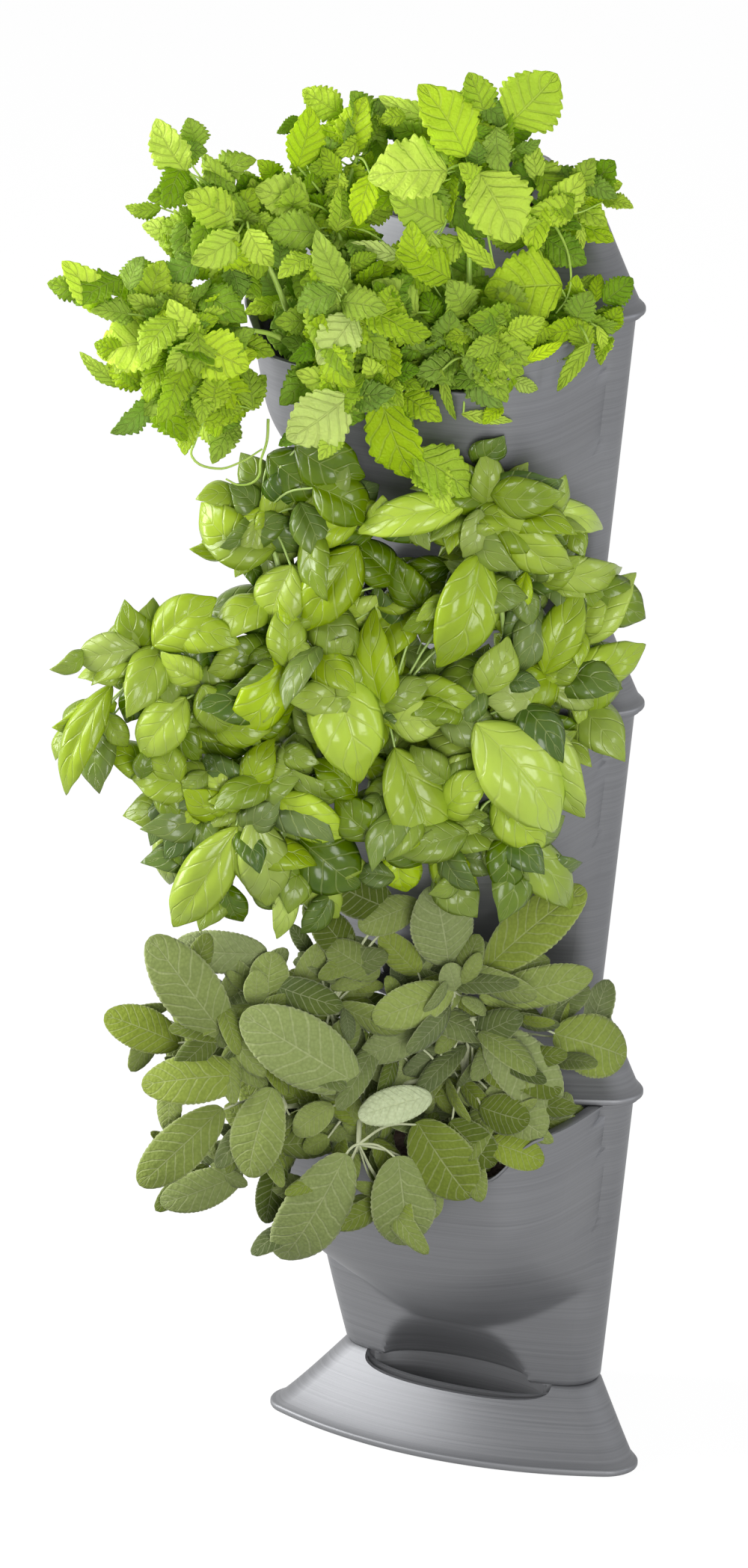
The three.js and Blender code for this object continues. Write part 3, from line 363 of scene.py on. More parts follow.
def mould_pot():
    band = RIM_BAND_HEIGHT / POT_HEIGHT
    low = -SPIGOT_DEPTH
    outer = [0.012 * k for k in range(1, 30)] + [0.36 + 0.022 * k for k in range(29)]
    rings = [plug_ring(SPIGOT_INSET + SPIGOT_TAPER + 1, low), plug_ring(SPIGOT_INSET + SPIGOT_TAPER, low + 1),
             plug_ring(SPIGOT_INSET, -1.2), plug_ring(SPIGOT_INSET, FIT_GAP), plug_ring(0.5, FIT_GAP)]
    rings += [pot_ring(s, 0) for s in outer if s < 1 - band - 0.004]
    rings += [pot_ring(1 - band - 0.002, 0), pot_ring(1 - band, -0.5),
              pot_ring(1 - band + 0.002, -RIM_BAND_OUT + 0.5),
              pot_ring(1 - band + 0.004, -RIM_BAND_OUT), pot_ring(0.997, -RIM_BAND_OUT),
              pot_ring(1, -RIM_BAND_OUT + 0.6), pot_ring(1, WALL - 0.6), pot_ring(0.997, WALL)]
    rings += [pot_ring(s, WALL) for s in INNER_RING_SHARES]
    rings += [plug_ring(SPIGOT_INSET + WALL, -2), plug_ring(SPIGOT_INSET + SPIGOT_TAPER + WALL, low + WALL)]
    pot = wrap("pot", rings)
    for share in DRAIN_SHARES:
        x, y = plug_place(*share, SPIGOT_INSET + SPIGOT_TAPER + WALL)
        deselect()
        bpy.ops.mesh.primitive_cylinder_add(vertices=24, radius=DRAIN_RADIUS * MM, depth=4 * WALL * MM,
                                            location=(x * MM, y * MM, (low + WALL / 2) * MM))
        cut(pot, bpy.context.object)
    return pot


def settle(master, name, lift, body, node):
    """Set a copy of a piece, with its own mesh, at its height in the stack."""
    piece = master.copy()
    piece.data = master.data.copy()
    piece.name = piece.data.name = name
    scene.collection.objects.link(piece)
    for vertex in piece.data.vertices:
        vertex.co.z += lift * MM
    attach(piece, body)
    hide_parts(node)


pot_master = mould_pot()
pot_master.data.materials.clear()
pot_master.data.materials.append(polypropylene)
for k, level in enumerate(LEVELS):
    settle(pot_master, f"moulded_pot_{level}", BASE_HEIGHT + LEVEL_PITCH * k, f"level_{level}",
           f"pot_{level}")
bpy.data.objects.remove(pot_master)


# Hoods and base skirt: sloped collars with a rolled flange at the foot and a socket with a ledge
# inside, which takes the plug above. A hood has an arch for the stems, the skirt a pouring crescent.
FLANGE_HEIGHT, FLANGE_BEAD, HOOD_OVERHANG = 3.4, 1.4, 1.5
LEDGE_WIDTH, LEDGE_THICKNESS = 7.0, 2.0
LOCATING_LIP_DEPTH, LOCATING_LIP_THICKNESS, LOCATING_LIP_GAP, LOCATING_LIP_TAPER = 5.0, 1.4, 0.55, 0.25
SEAM_SIDE_SHARE, SEAM_FRONT_SHARE = 0.46, 0.9
SLOPE_BEND = 0.86
CRESCENT_HALF_WIDTH, CRESCENT_DEPTH = 50.0, 7.5
ARCH_HALF_WIDTH, ARCH_HEIGHT = 60.6, 19.0


def arch_cutter(half_width, rise, foot, from_y, to_y):
    """A rounded arch, pushed through the front wall."""
    deselect()
    bpy.ops.mesh.primitive_circle_add(vertices=66, radius=1, fill_type="NGON")
    cutter = bpy.context.object
    for i, vertex in enumerate(cutter.data.vertices):
        if i <= 60:
            a = math.pi * i / 60
            x = half_width * math.copysign(abs(math.cos(a)) ** 0.55, math.cos(a))
            z = foot + rise * abs(math.sin(a)) ** 0.55
        else:
            x, z = half_width * (-1 + 2 * (i - 61) / 4), foot - rise
        vertex.co = (x * MM, from_y * MM, z * MM)
    bpy.ops.object.mode_set(mode="EDIT")
    bpy.ops.mesh.select_all(action="SELECT")
    bpy.ops.mesh.extrude_region_move(TRANSFORM_OT_translate={"value": (0, (to_y - from_y) * MM, 0)})
    bpy.ops.mesh.select_all(action="SELECT")
    bpy.ops.mesh.normals_make_consistent(inside=False)
    bpy.ops.object.mode_set(mode="OBJECT")
    return cutter


def mould_collar(name, height, lip_depth, overhang):
    def slope(share, inset=0.0):
        bend, start = share ** SLOPE_BEND, FLANGE_BEAD - overhang
        z = FLANGE_HEIGHT + (height - FLANGE_HEIGHT) * share
        return ring(POT_FOOT_INSETS[0] * share + start * (1 - share) + inset,
                    POT_FOOT_INSETS[1] * bend + start * (1 - bend) + inset, z)

    def flange(inset, z):
        return ring(inset - overhang, inset - overhang, z)

    def lip(inset, z):
        gap = WALL + LOCATING_LIP_GAP + inset
        return ring(POT_TOP_INSETS[0] + gap, POT_TOP_INSETS[1] + gap, z)

    def under(side_share, front_share, insets=None):
        """A ring that is higher along the front: under the slope, or at the back of the socket wall."""
        bend, start = front_share ** SLOPE_BEND, FLANGE_BEAD - overhang
        slope_side = POT_FOOT_INSETS[0] * side_share + start * (1 - side_share) + WALL
        slope_fore = POT_FOOT_INSETS[1] * bend + start * (1 - bend) + WALL
        rise = height - FLANGE_HEIGHT
        lows, highs = (FLANGE_HEIGHT + rise * share for share in (side_share, front_share))
        return [(x, y, highs if at_front(i) else lows)
                for i, (x, y) in enumerate(plan(*(insets or (slope_side, slope_fore))))]

    plug = SPIGOT_INSET - FIT_GAP
    side, fore = POT_FOOT_INSETS[0] + plug, POT_FOOT_INSETS[1] + plug
    ledge = height - SPIGOT_DEPTH - FIT_GAP
    rings = [flange(0.55, 0), flange(0.2, 0.25), flange(0, 0.85), flange(0, 2.4),
             flange(0.2, 2.95), flange(0.55, 3.25), flange(1.0, FLANGE_HEIGHT)]
    rings += [slope(s) for s in (0.03, 0.08, 0.14, 0.2, 0.3, 0.4, 0.5, 0.6, 0.7, 0.8, 0.9, 0.96)]
    rings += [slope(0.99, 0.25), ring(POT_FOOT_INSETS[0] + 0.7, POT_FOOT_INSETS[1] + 0.7, height),
              ring(side - 0.4, fore - 0.4, height), ring(side, fore, height - 0.4),
              ring(side + SPIGOT_TAPER / 2, fore + SPIGOT_TAPER / 2, ledge),
              ring(side + LEDGE_WIDTH, fore + LEDGE_WIDTH, ledge),
              ring(side + LEDGE_WIDTH, fore + LEDGE_WIDTH, ledge - LEDGE_THICKNESS),
              ring(side - WALL, fore - WALL, ledge - LEDGE_THICKNESS),
              under(SEAM_SIDE_SHARE, SEAM_FRONT_SHARE, (side - WALL, fore - WALL)),
              under(SEAM_SIDE_SHARE * 0.92, SEAM_FRONT_SHARE * 0.97),
              under(SEAM_SIDE_SHARE * 0.85, SEAM_FRONT_SHARE * 0.55), slope(0.14, WALL)]
    if lip_depth:
        rings += [lip(LOCATING_LIP_THICKNESS, FLANGE_HEIGHT), lip(LOCATING_LIP_THICKNESS, -lip_depth),
                  lip(LOCATING_LIP_TAPER, -lip_depth), lip(0, 0)]
    else:
        rings += [flange(FLANGE_BEAD + WALL, z) for z in (FLANGE_HEIGHT, 0)]
    collar = wrap(name, rings, loops_back=True)
    cut(collar, arch_cutter(CRESCENT_HALF_WIDTH, -CRESCENT_DEPTH, height, FRONT_Y - 20, FRONT_Y + 60))
    collar.data.materials.clear()
    collar.data.materials.append(polypropylene)
    return collar


hood_master = mould_collar("hood", HOOD_HEIGHT, LOCATING_LIP_DEPTH, HOOD_OVERHANG)
cut(hood_master, arch_cutter(ARCH_HALF_WIDTH, ARCH_HEIGHT, -2 * FLANGE_HEIGHT, FRONT_Y - 20, FRONT_Y + 31))
for k, level in enumerate(LEVELS):
    foot = BASE_HEIGHT + LEVEL_PITCH * (k + 1) - HOOD_HEIGHT
    settle(hood_master, f"moulded_hood_{level}", foot, f"cover_{level}", f"hood_{level}")
bpy.data.objects.remove(hood_master)
skirt_master = mould_collar("skirt", BASE_HEIGHT, 0, 0)
settle(skirt_master, "moulded_base_skirt", 0, "base", "base_skirt")
bpy.data.objects.remove(skirt_master)


# Drip tray and drain grates: dark grey polypropylene regrind, plain moulded, with a soft satin skin.
# They are the frame's own pieces and only take their material here.
def dark_regrind():
    """Dark grey recycled polypropylene: satin, faintly mottled."""
    material = blank_material("dark_regrind_polypropylene")
    tree = material.node_tree
    place = put(tree, "ShaderNodeTexCoord")
    mottle = put(tree, "ShaderNodeTexNoise", None, {
        "Vector": place.outputs["Object"], "Scale": 220.0, "Detail": 4.0})
    tone = put(tree, "ShaderNodeMix", {"data_type": "RGBA"}, {
        0: mottle.outputs["Fac"], 6: hex_colour("#36383a"), 7: hex_colour("#484a4c")})
    relief = put(tree, "ShaderNodeBump", None, {
        "Strength": 0.1, "Distance": 0.0002, "Height": mottle.outputs["Fac"]})
    skin = put(tree, "ShaderNodeBsdfPrincipled", None, {
        "Base Color": tone.outputs[2], "Roughness": 0.55, "Normal": relief.outputs[0]})
    put(tree, "ShaderNodeOutputMaterial", None, {"Surface": skin.outputs[0]})
    return material


regrind = dark_regrind()
for name in ["base_tray"] + [f"drain_grate_{level}" for level in LEVELS]:
    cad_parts[name].data.materials.clear()
    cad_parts[name].data.materials.append(regrind)


# Potting soil: dark peat and bark crumbs, filled to a finger below each lip and firmed by hand.
# Each fill follows its frame solid, is remeshed into crumbs and is raised and pitted on top.
SOIL_DEPTH_BELOW_LIP = 12.0
SOIL_TOP = MOUTH_LIP_HEIGHT - SOIL_DEPTH_BELOW_LIP
CRUMB, SOIL_SHRINKAGE = 2.6, 3.0


def peat_and_bark():
    """Damp peat with bark crumbs: near black brown, rough, with paler bits."""
    material = blank_material("peat_and_bark_soil")
    tree = material.node_tree
    place = put(tree, "ShaderNodeTexCoord")
    crumbs = put(tree, "ShaderNodeTexVoronoi", None, {"Vector": place.outputs["Object"], "Scale": 320.0})
    clods = put(tree, "ShaderNodeTexNoise", None, {
        "Vector": place.outputs["Object"], "Scale": 90.0, "Detail": 5.0})
    tone = put(tree, "ShaderNodeMix", {"data_type": "RGBA"}, {
        0: clods.outputs["Fac"], 6: hex_colour("#17110c"), 7: hex_colour("#4a3827")})
    relief = put(tree, "ShaderNodeBump", None, {
        "Strength": 0.8, "Distance": 0.0015, "Height": crumbs.outputs["Distance"]})
    skin = put(tree, "ShaderNodeBsdfPrincipled", None, {
        "Base Color": tone.outputs[2], "Roughness": 0.95, "Normal": relief.outputs[0]})
    put(tree, "ShaderNodeOutputMaterial", None, {"Surface": skin.outputs[0]})
    return material


soil_skin = peat_and_bark()
for k, level in enumerate(LEVELS):
    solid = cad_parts[f"soil_{level}"]
    fill = bpy.data.objects.new(f"crumbly_soil_{level}", solid.data.copy())
    scene.collection.objects.link(fill)
    pick(fill)
    bpy.ops.object.mode_set(mode="EDIT")
    bpy.ops.mesh.select_all(action="SELECT")
    bpy.ops.mesh.remove_doubles(threshold=0.00001)
    bpy.ops.object.mode_set(mode="OBJECT")
    crumb = fill.modifiers.new("crumb", "REMESH")
    crumb.mode, crumb.voxel_size = "VOXEL", CRUMB * MM
    bpy.ops.object.modifier_apply(modifier=crumb.name)
    settled = fill.modifiers.new("settled", "DISPLACE")
    settled.strength, settled.mid_level = -SOIL_SHRINKAGE * MM, 0
    bpy.ops.object.modifier_apply(modifier=settled.name)
    random.seed(31 + k)
    top = (BASE_HEIGHT + LEVEL_PITCH * k + SOIL_TOP - 1.0) * MM
    for vertex in fill.data.vertices:
        if vertex.co.z > top:
            vertex.co.z += random.uniform(-1.6, 0.3) * MM
    bpy.ops.object.shade_smooth()
    fill.data.materials.clear()
    fill.data.materials.append(soil_skin)
    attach(fill, f"level_{level}")
    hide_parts(f"soil_{level}")


# Growing the plants: a sprig is a stem with side stems, and leaves on thin stalks. A leaf row gives its
# side stem, then base and tip on the studio view (across, down, and millimetres out from the tower's
# middle), its width and, for some, its tone and bloom; a low listed tone is painted shade on a leaf in
# shadow.
# Small shade leaves fill in behind the listed ones, their tone kept low as painted shade.
SKETCH_PER_MM = 2.77
FOCAL = LENS / SENSOR * FRAME_SIZE[1]
STEM_RADIUS, STALK_RADIUS, STEM_FOOT = 1.5, 0.55, 5.0
LEAF_GAUGE = 0.35
HOOD_LIFT = 8.0


def from_sketch(across, down, out):
    """The point, in millimetres, that the studio view shows at a place, at a distance out."""
    ray = -BACK * FOCAL + LEVEL_RIGHT * (across - FRAME_SIZE[0] / 2) + LEVEL_UP * (FRAME_SIZE[1] / 2 - down)
    return EYE + ray * ((out - EYE.dot(TOWARDS)) / ray.dot(TOWARDS))


def leaf_axes(base, tip, turn):
    along = tip - base
    face = TOWARDS + Vector((0, 0, 0.4))
    across = along.cross(face).normalized()
    across.rotate(Matrix.Rotation(turn, 3, along.normalized()))
    return along, across, across.cross(along).normalized()


def clear_of_shells(point, gap=2.0):
    """Whether a point keeps clear of every front wall, belly, soil fill and hood, also of a lifted hood."""
    x, y, z = point
    level = int((z - BASE_HEIGHT) // LEVEL_PITCH)
    if level == len(LEVELS) and z < BASE_HEIGHT + LEVEL_PITCH * level + HOOD_LIFT:
        level -= 1
    height = z - BASE_HEIGHT - LEVEL_PITCH * level
    outside = not 0 <= level < len(LEVELS) or abs(x) + y > BACK_CORNER_Y + gap
    if outside or abs(x) > HALF_CHORD:
        return outside or y < -BACK_CORNER_Y
    if height < POT_HEIGHT:
        fore = POT_FOOT_INSETS[1] + (POT_TOP_INSETS[1] - POT_FOOT_INSETS[1]) * height / POT_HEIGHT
        out, rim = mouth_push(x, height, 0), rim_height(x, True)
    else:
        rise = max(0, (height - HOOD_LIFT - POT_HEIGHT) / HOOD_HEIGHT)
        fore, out = POT_FOOT_INSETS[1] * rise ** SLOPE_BEND, 0
        rim = 0 if abs(x) < ARCH_HALF_WIDTH - gap and height < POT_HEIGHT + ARCH_HEIGHT - gap else LEVEL_PITCH
    wall = ARC_CENTRE_Y - math.sqrt((FRONT_RADIUS - fore) ** 2 - x * x) - out
    if y < wall - gap:
        return True
    if y < wall + WALL + gap:
        return height > rim + gap
    return SOIL_TOP + gap < height < POT_HEIGHT + HOOD_HEIGHT / 2


def lie_clear(base, tip, reach=30.0, steps=10):
    """A leaf's ends, brought towards the viewer on their own sight lines until the leaf clears the shells."""
    for _ in range(steps):
        if all(clear_of_shells(base.lerp(tip, f)) for f in (0.15, 0.4, 0.7, 1.0)):
            break
        base, tip = (end + (EYE - end).normalized() * reach / steps for end in (base, tip))
    return base, tip


def leaf_blade(name, rows, columns, half_width, relief):
    """One flat blade of unit length and unit half width: a grid, drawn in at base and tip and embossed."""
    deselect()
    bpy.ops.mesh.primitive_grid_add(x_subdivisions=columns, y_subdivisions=rows, size=2)
    blade = bpy.context.object
    blade.name = name
    for vertex in blade.data.vertices:
        u, v = vertex.co.x, (vertex.co.y + 1) / 2
        vertex.co = (u * half_width(u, v), v, relief(u, v))
    bpy.ops.object.shade_smooth()
    places = np.empty(len(blade.data.vertices) * 3)
    blade.data.vertices.foreach_get("co", places)
    return blade, places.reshape(-1, 3)


def set_leaf(plant, kind, base, tip, width, turn, tone, bloom, draw):
    """Copy the plant's blade and bend it from base to tip: arched, cupped across, rippled at its edge."""
    blade, places = plant[kind]
    along, across, normal = leaf_axes(base, tip, turn)
    length, half = along.length, width / 2
    x, y, z = places.T
    bow = 4 * plant["arch"] * length * y * (1 - y) * (0.8 + 0.5 * draw[0])
    cup = plant["cup"] * half * x ** 2 / np.maximum(np.abs(plant["span"](y)), 0.15)
    ripple = plant["ripple"] * half * x ** 2 * np.sin(2 * np.pi * (plant["waves"] * y + draw[1]) + np.sign(x))
    droop = plant["droop"] * length * np.maximum(0, y - 0.6) ** 2 * (0.3 + draw[2])
    rise = bow - cup + ripple + z * half - droop
    points = (np.outer(np.ones(len(y)), base) + np.outer(y, along) + np.outer(x * half, across)
              + np.outer(rise, normal))
    mesh = blade.data.copy()
    mesh.vertices.foreach_set("co", (points * MM).ravel())
    shade = mesh.attributes.new("leaf_tone_and_painted_shade", "FLOAT_COLOR", "POINT")
    shade.data.foreach_set("color", np.tile((tone, bloom, draw[1], 1.0), len(y)))
    leaf = bpy.data.objects.new("leaf", mesh)
    scene.collection.objects.link(leaf)
    return leaf


def set_stem(points, thick, thin):
    """A round stem through some points, tapering to its end."""
    line = bpy.data.curves.new("stem", "CURVE")
    line.dimensions = "3D"
    line.bevel_depth, line.bevel_resolution, line.resolution_u, line.use_fill_caps = MM, 1, 5, True
    spline = line.splines.new("BEZIER")
    spline.bezier_points.add(len(points) - 1)
    for i, (knot, point) in enumerate(zip(spline.bezier_points, points)):
        knot.co = point * MM
        knot.handle_left_type = knot.handle_right_type = "AUTO"
        knot.radius = thick + (thin - thick) * i / (len(points) - 1)
    stem = bpy.data.objects.new("stem", line)
    scene.collection.objects.link(stem)
    return stem


def grow(plant, name, side, sprig, level):
    """Grow one sprig: its stems, stalks, named leaves and shade leaves, joined into one piece."""
    rng = random.Random(f"{name}_{side}")
    number = LEVELS.index(level)
    ground = BASE_HEIGHT + LEVEL_PITCH * number + SOIL_TOP + FIT_GAP
    root = Vector((sprig["root"][0], sprig["root"][1], ground))
    hubs = [from_sketch(*place) for _, *place in sprig["hubs"]]
    stems, leaves = [], []
    for (parent, *_), end in zip(sprig["hubs"], hubs):
        start = root if parent < 0 else hubs[parent]
        middle = start.lerp(end, 0.5) + Vector((0, 0, 0.08 * (end - start).length))
        bend = [root, root + Vector((0, 0, STEM_FOOT)), middle, end] if parent < 0 else [start, middle, end]
        stems.append(set_stem(bend, STEM_RADIUS, STEM_RADIUS * 0.75))
    for trail in sprig.get("trails", []):
        course = [from_sketch(*place) for place in trail]
        stems.append(set_stem(course, STALK_RADIUS * 1.4, STALK_RADIUS * 0.8))
    rows = sprig["leaves"]
    for i, (hub, ax, ay, ao, bx, by, bo, width, *told) in enumerate(rows):
        base, tip = lie_clear(from_sketch(ax, ay, ao), from_sketch(bx, by, bo))
        turn = math.radians(plant["roll"]) * math.sin(2.4 * i + plant["level"])
        draw = [rng.random() for _ in range(3)]
        # A listed low tone is painted shade on a leaf in shadow; other leaves draw their tone at random.
        tone, bloom = told or (0.45 + 0.55 * rng.random(), 0.25 * rng.random())
        leaves.append(set_leaf(plant, "blade", base, tip, width / SKETCH_PER_MM, turn, tone, bloom, draw))
        start = hubs[hub]
        middle = start.lerp(base, 0.5) + Vector((0, 0, 0.12 * (base - start).length))
        stems.append(set_stem([start, middle, base.lerp(tip, 0.04)], STALK_RADIUS * 1.3, STALK_RADIUS))
    for n in range(plant["shade_leaves"]):
        hub, ax, ay, ao, bx, by, bo, width, *_ = rng.choice(rows)
        if n % 3:
            at = hubs[hub].lerp(from_sketch(bx, by, bo), rng.uniform(0.0, 0.75))
            base = at - TOWARDS * rng.uniform(-4, 22) + LEVEL_RIGHT * rng.uniform(-10, 10)
            base.z += rng.uniform(-9, 6)
        else:
            base = root + Vector((rng.uniform(-24, 24), rng.uniform(-42, 0), rng.uniform(4, 46)))
        heading = rng.uniform(0, 2 * math.pi)
        length = rng.uniform(*plant["shade_length"])
        tip = base + (LEVEL_RIGHT * math.cos(heading) + LEVEL_UP * math.sin(heading) * 0.9
                      + TOWARDS * rng.uniform(-0.2, 0.6)) * length
        draw = [rng.random() for _ in range(3)]
        turn, wide = rng.uniform(-0.8, 0.8), length * rng.uniform(*plant["shade_width"])
        # Shade leaves draw a lower tone: painted shade inside the foliage.
        tone, bloom = rng.uniform(*plant["tone_range_with_painted_shade"]), 0.15 * rng.random()
        if all(clear_of_shells(base.lerp(tip, f / 8)) for f in range(9)):
            leaves.append(set_leaf(plant, "small_blade", base, tip, wide, turn, tone, bloom, draw))
            if n % 3 and n % 2:
                sag = hubs[hub].lerp(base, 0.5) - Vector((0, 0, 3))
                stems.append(set_stem([hubs[hub], sag, base], STALK_RADIUS, STALK_RADIUS * 0.8))
    pick(*stems)
    bpy.ops.object.convert(target="MESH")
    bpy.ops.object.join()
    stalks = bpy.context.object
    bpy.ops.object.shade_smooth()
    stalks.data.materials.append(plant["stem_skin"])
    pick(*leaves)
    bpy.ops.object.join()
    foliage = bpy.context.object
    foliage.data.materials.append(plant["leaf_skin"])
    gauge = foliage.modifiers.new("gauge", "SOLIDIFY")
    gauge.thickness, gauge.offset = LEAF_GAUGE * MM, 0
    bpy.ops.object.modifier_apply(modifier=gauge.name)
    pick(foliage, stalks)
    bpy.ops.object.join()
    foliage.name = foliage.data.name = f"{name}_sprig_{side}"
    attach(foliage, f"level_{level}")
    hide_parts(f"{name}_{side}")


def vein_mask(tree, veins, slant, fine):
    """Midrib and side veins along a blade's own map: 1 on a vein, 0 between."""
    blade_map = put(tree, "ShaderNodeUVMap", {"uv_map": "UVMap"})
    split = put(tree, "ShaderNodeSeparateXYZ", None, {0: blade_map.outputs[0]})
    off = put(tree, "ShaderNodeMath", {"operation": "SUBTRACT"}, {0: split.outputs[0], 1: 0.5})
    side = put(tree, "ShaderNodeMath", {"operation": "ABSOLUTE"}, {0: off.outputs[0]})
    run = put(tree, "ShaderNodeMath", {"operation": "MULTIPLY"}, {0: side.outputs[0], 1: 2 * slant})
    lean = put(tree, "ShaderNodeMath", {"operation": "SUBTRACT"}, {0: split.outputs[1], 1: run.outputs[0]})
    place = put(tree, "ShaderNodeTexCoord")
    sway = put(tree, "ShaderNodeTexNoise", None, {
        "Vector": place.outputs["Object"], "Scale": 70.0, "Detail": 2.0})
    stray = put(tree, "ShaderNodeMapRange", None, {
        "Value": sway.outputs["Fac"], "To Min": -0.06, "To Max": 0.06})
    course = put(tree, "ShaderNodeMath", {"operation": "ADD"}, {0: lean.outputs[0], 1: stray.outputs[0]})
    turns = put(tree, "ShaderNodeMath", {"operation": "MULTIPLY"}, {0: course.outputs[0], 1: veins})
    wave = put(tree, "ShaderNodeMath", {"operation": "PINGPONG"}, {0: turns.outputs[0], 1: 0.5})
    ribs = put(tree, "ShaderNodeMapRange", {"interpolation_type": "SMOOTHSTEP"}, {
        "Value": wave.outputs[0], "From Min": 0.0, "From Max": fine * 2.2, "To Min": 0.8, "To Max": 0.0})
    midrib = put(tree, "ShaderNodeMapRange", {"interpolation_type": "SMOOTHSTEP"}, {
        "Value": side.outputs[0], "From Min": 0.004, "From Max": fine * 0.35, "To Min": 1.0, "To Max": 0.0})
    return put(tree, "ShaderNodeMath", {"operation": "MAXIMUM"}, {
        0: ribs.outputs[0], 1: midrib.outputs[0]}).outputs[0]


def leaf_colours(tree, deep, fresh, bloom, veins, vein_colour, vein_share):
    """Blade colour by each leaf's tone: deep in shade leaves, which is painted shade, fresh in young ones,
    washed with bloom, with paler veins.
    """
    tone = put(tree, "ShaderNodeAttribute", {"attribute_name": "leaf_tone_and_painted_shade"})
    parts = put(tree, "ShaderNodeSeparateColor", None, {0: tone.outputs["Color"]})
    place = put(tree, "ShaderNodeTexCoord")
    mottle = put(tree, "ShaderNodeTexNoise", None, {
        "Vector": place.outputs["Object"], "Scale": 60.0, "Detail": 3.0})
    spread = put(tree, "ShaderNodeMapRange", None, {
        "Value": mottle.outputs["Fac"], "To Min": -0.2, "To Max": 0.2})
    share = put(tree, "ShaderNodeMath", {"operation": "ADD", "use_clamp": True},
                {0: parts.outputs[0], 1: spread.outputs[0]})
    blade = put(tree, "ShaderNodeMix", {"data_type": "RGBA"}, {
        0: share.outputs[0], 6: hex_colour(deep), 7: hex_colour(fresh)})
    washed = put(tree, "ShaderNodeMix", {"data_type": "RGBA"}, {
        0: parts.outputs[1], 6: blade.outputs[2], 7: hex_colour(bloom)})
    amount = put(tree, "ShaderNodeMath", {"operation": "MULTIPLY"}, {0: veins, 1: vein_share})
    return put(tree, "ShaderNodeMix", {"data_type": "RGBA"}, {
        0: amount.outputs[0], 6: washed.outputs[2], 7: hex_colour(vein_colour)}).outputs[2]


def thin_leaf(tree, skin, colour, share):
    """Let a share of the light through a leaf, coloured by it."""
    through = put(tree, "ShaderNodeBsdfTranslucent", None, {"Color": colour})
    both = put(tree, "ShaderNodeMixShader", None, {0: share, 1: skin.outputs[0], 2: through.outputs[0]})
    put(tree, "ShaderNodeOutputMaterial", None, {"Surface": both.outputs[0]})


def herb_stem(name, low, high, rough):
    """Fresh herb stem: soft green, faintly streaked along."""
    material = blank_material(name)
    tree = material.node_tree
    place = put(tree, "ShaderNodeTexCoord")
    streak = put(tree, "ShaderNodeTexNoise", None, {
        "Vector": place.outputs["Object"], "Scale": 150.0, "Detail": 2.0})
    tone = put(tree, "ShaderNodeMix", {"data_type": "RGBA"}, {
        0: streak.outputs["Fac"], 6: hex_colour(low), 7: hex_colour(high)})
    skin = put(tree, "ShaderNodeBsdfPrincipled", None, {"Base Color": tone.outputs[2], "Roughness": rough})
    put(tree, "ShaderNodeOutputMaterial", None, {"Surface": skin.outputs[0]})
    return material


# Lemon balm in the upper pot: thin quilted leaves with round teeth, bright yellow green, on long
# square stems that arch over the lip.
BALM_TEETH, BALM_VEINS = 9, 6


def balm_span(v):
    t = np.where(v < 0.4, v / 0.4 * 0.5, 0.5 + (v - 0.4) / 0.6 * 0.5)
    return np.abs(np.sin(np.pi * t)) ** 0.75


def balm_outline(u, v):
    tooth = (v * BALM_TEETH) % 1.0
    scallop = math.sin(math.pi * tooth ** 0.75) ** 0.7
    return float(balm_span(v)) * (1 - 0.2 * max(0, abs(u) - 0.6) / 0.4 * (1 - scallop)) + 0.012


def balm_relief(u, v):
    quilt = abs(math.sin(math.pi * BALM_VEINS * (v - 0.28 * abs(u))))
    across = min(1, abs(u) * 5) * (1 - 0.5 * abs(u))
    return 0.06 * (quilt ** 0.7) * across * math.sin(math.pi * min(1, v * 1.02))


def lemon_balm_leaf():
    """Lemon balm leaf: matt, thin, light comes through it; sunk veins between raised quilting."""
    material = blank_material("lemon_balm_leaf")
    tree = material.node_tree
    veins = vein_mask(tree, BALM_VEINS, 0.28, 0.07)
    colour = leaf_colours(tree, "#78a800", "#e0fa28", "#f2f8c4", veins, "#ecf898", 0.22)
    place = put(tree, "ShaderNodeTexCoord")
    net = put(tree, "ShaderNodeTexVoronoi", {"feature": "DISTANCE_TO_EDGE"},
              {"Vector": place.outputs["Object"], "Scale": 420.0})
    sunk = put(tree, "ShaderNodeMath", {"operation": "SUBTRACT"}, {0: net.outputs["Distance"], 1: veins})
    relief = put(tree, "ShaderNodeBump", None, {
        "Strength": 0.8, "Distance": 0.001, "Height": sunk.outputs[0]})
    skin = put(tree, "ShaderNodeBsdfPrincipled", None, {
        "Base Color": colour, "Roughness": 0.5, "Normal": relief.outputs[0], "Specular IOR Level": 0.15})
    thin_leaf(tree, skin, colour, 0.36)
    return material


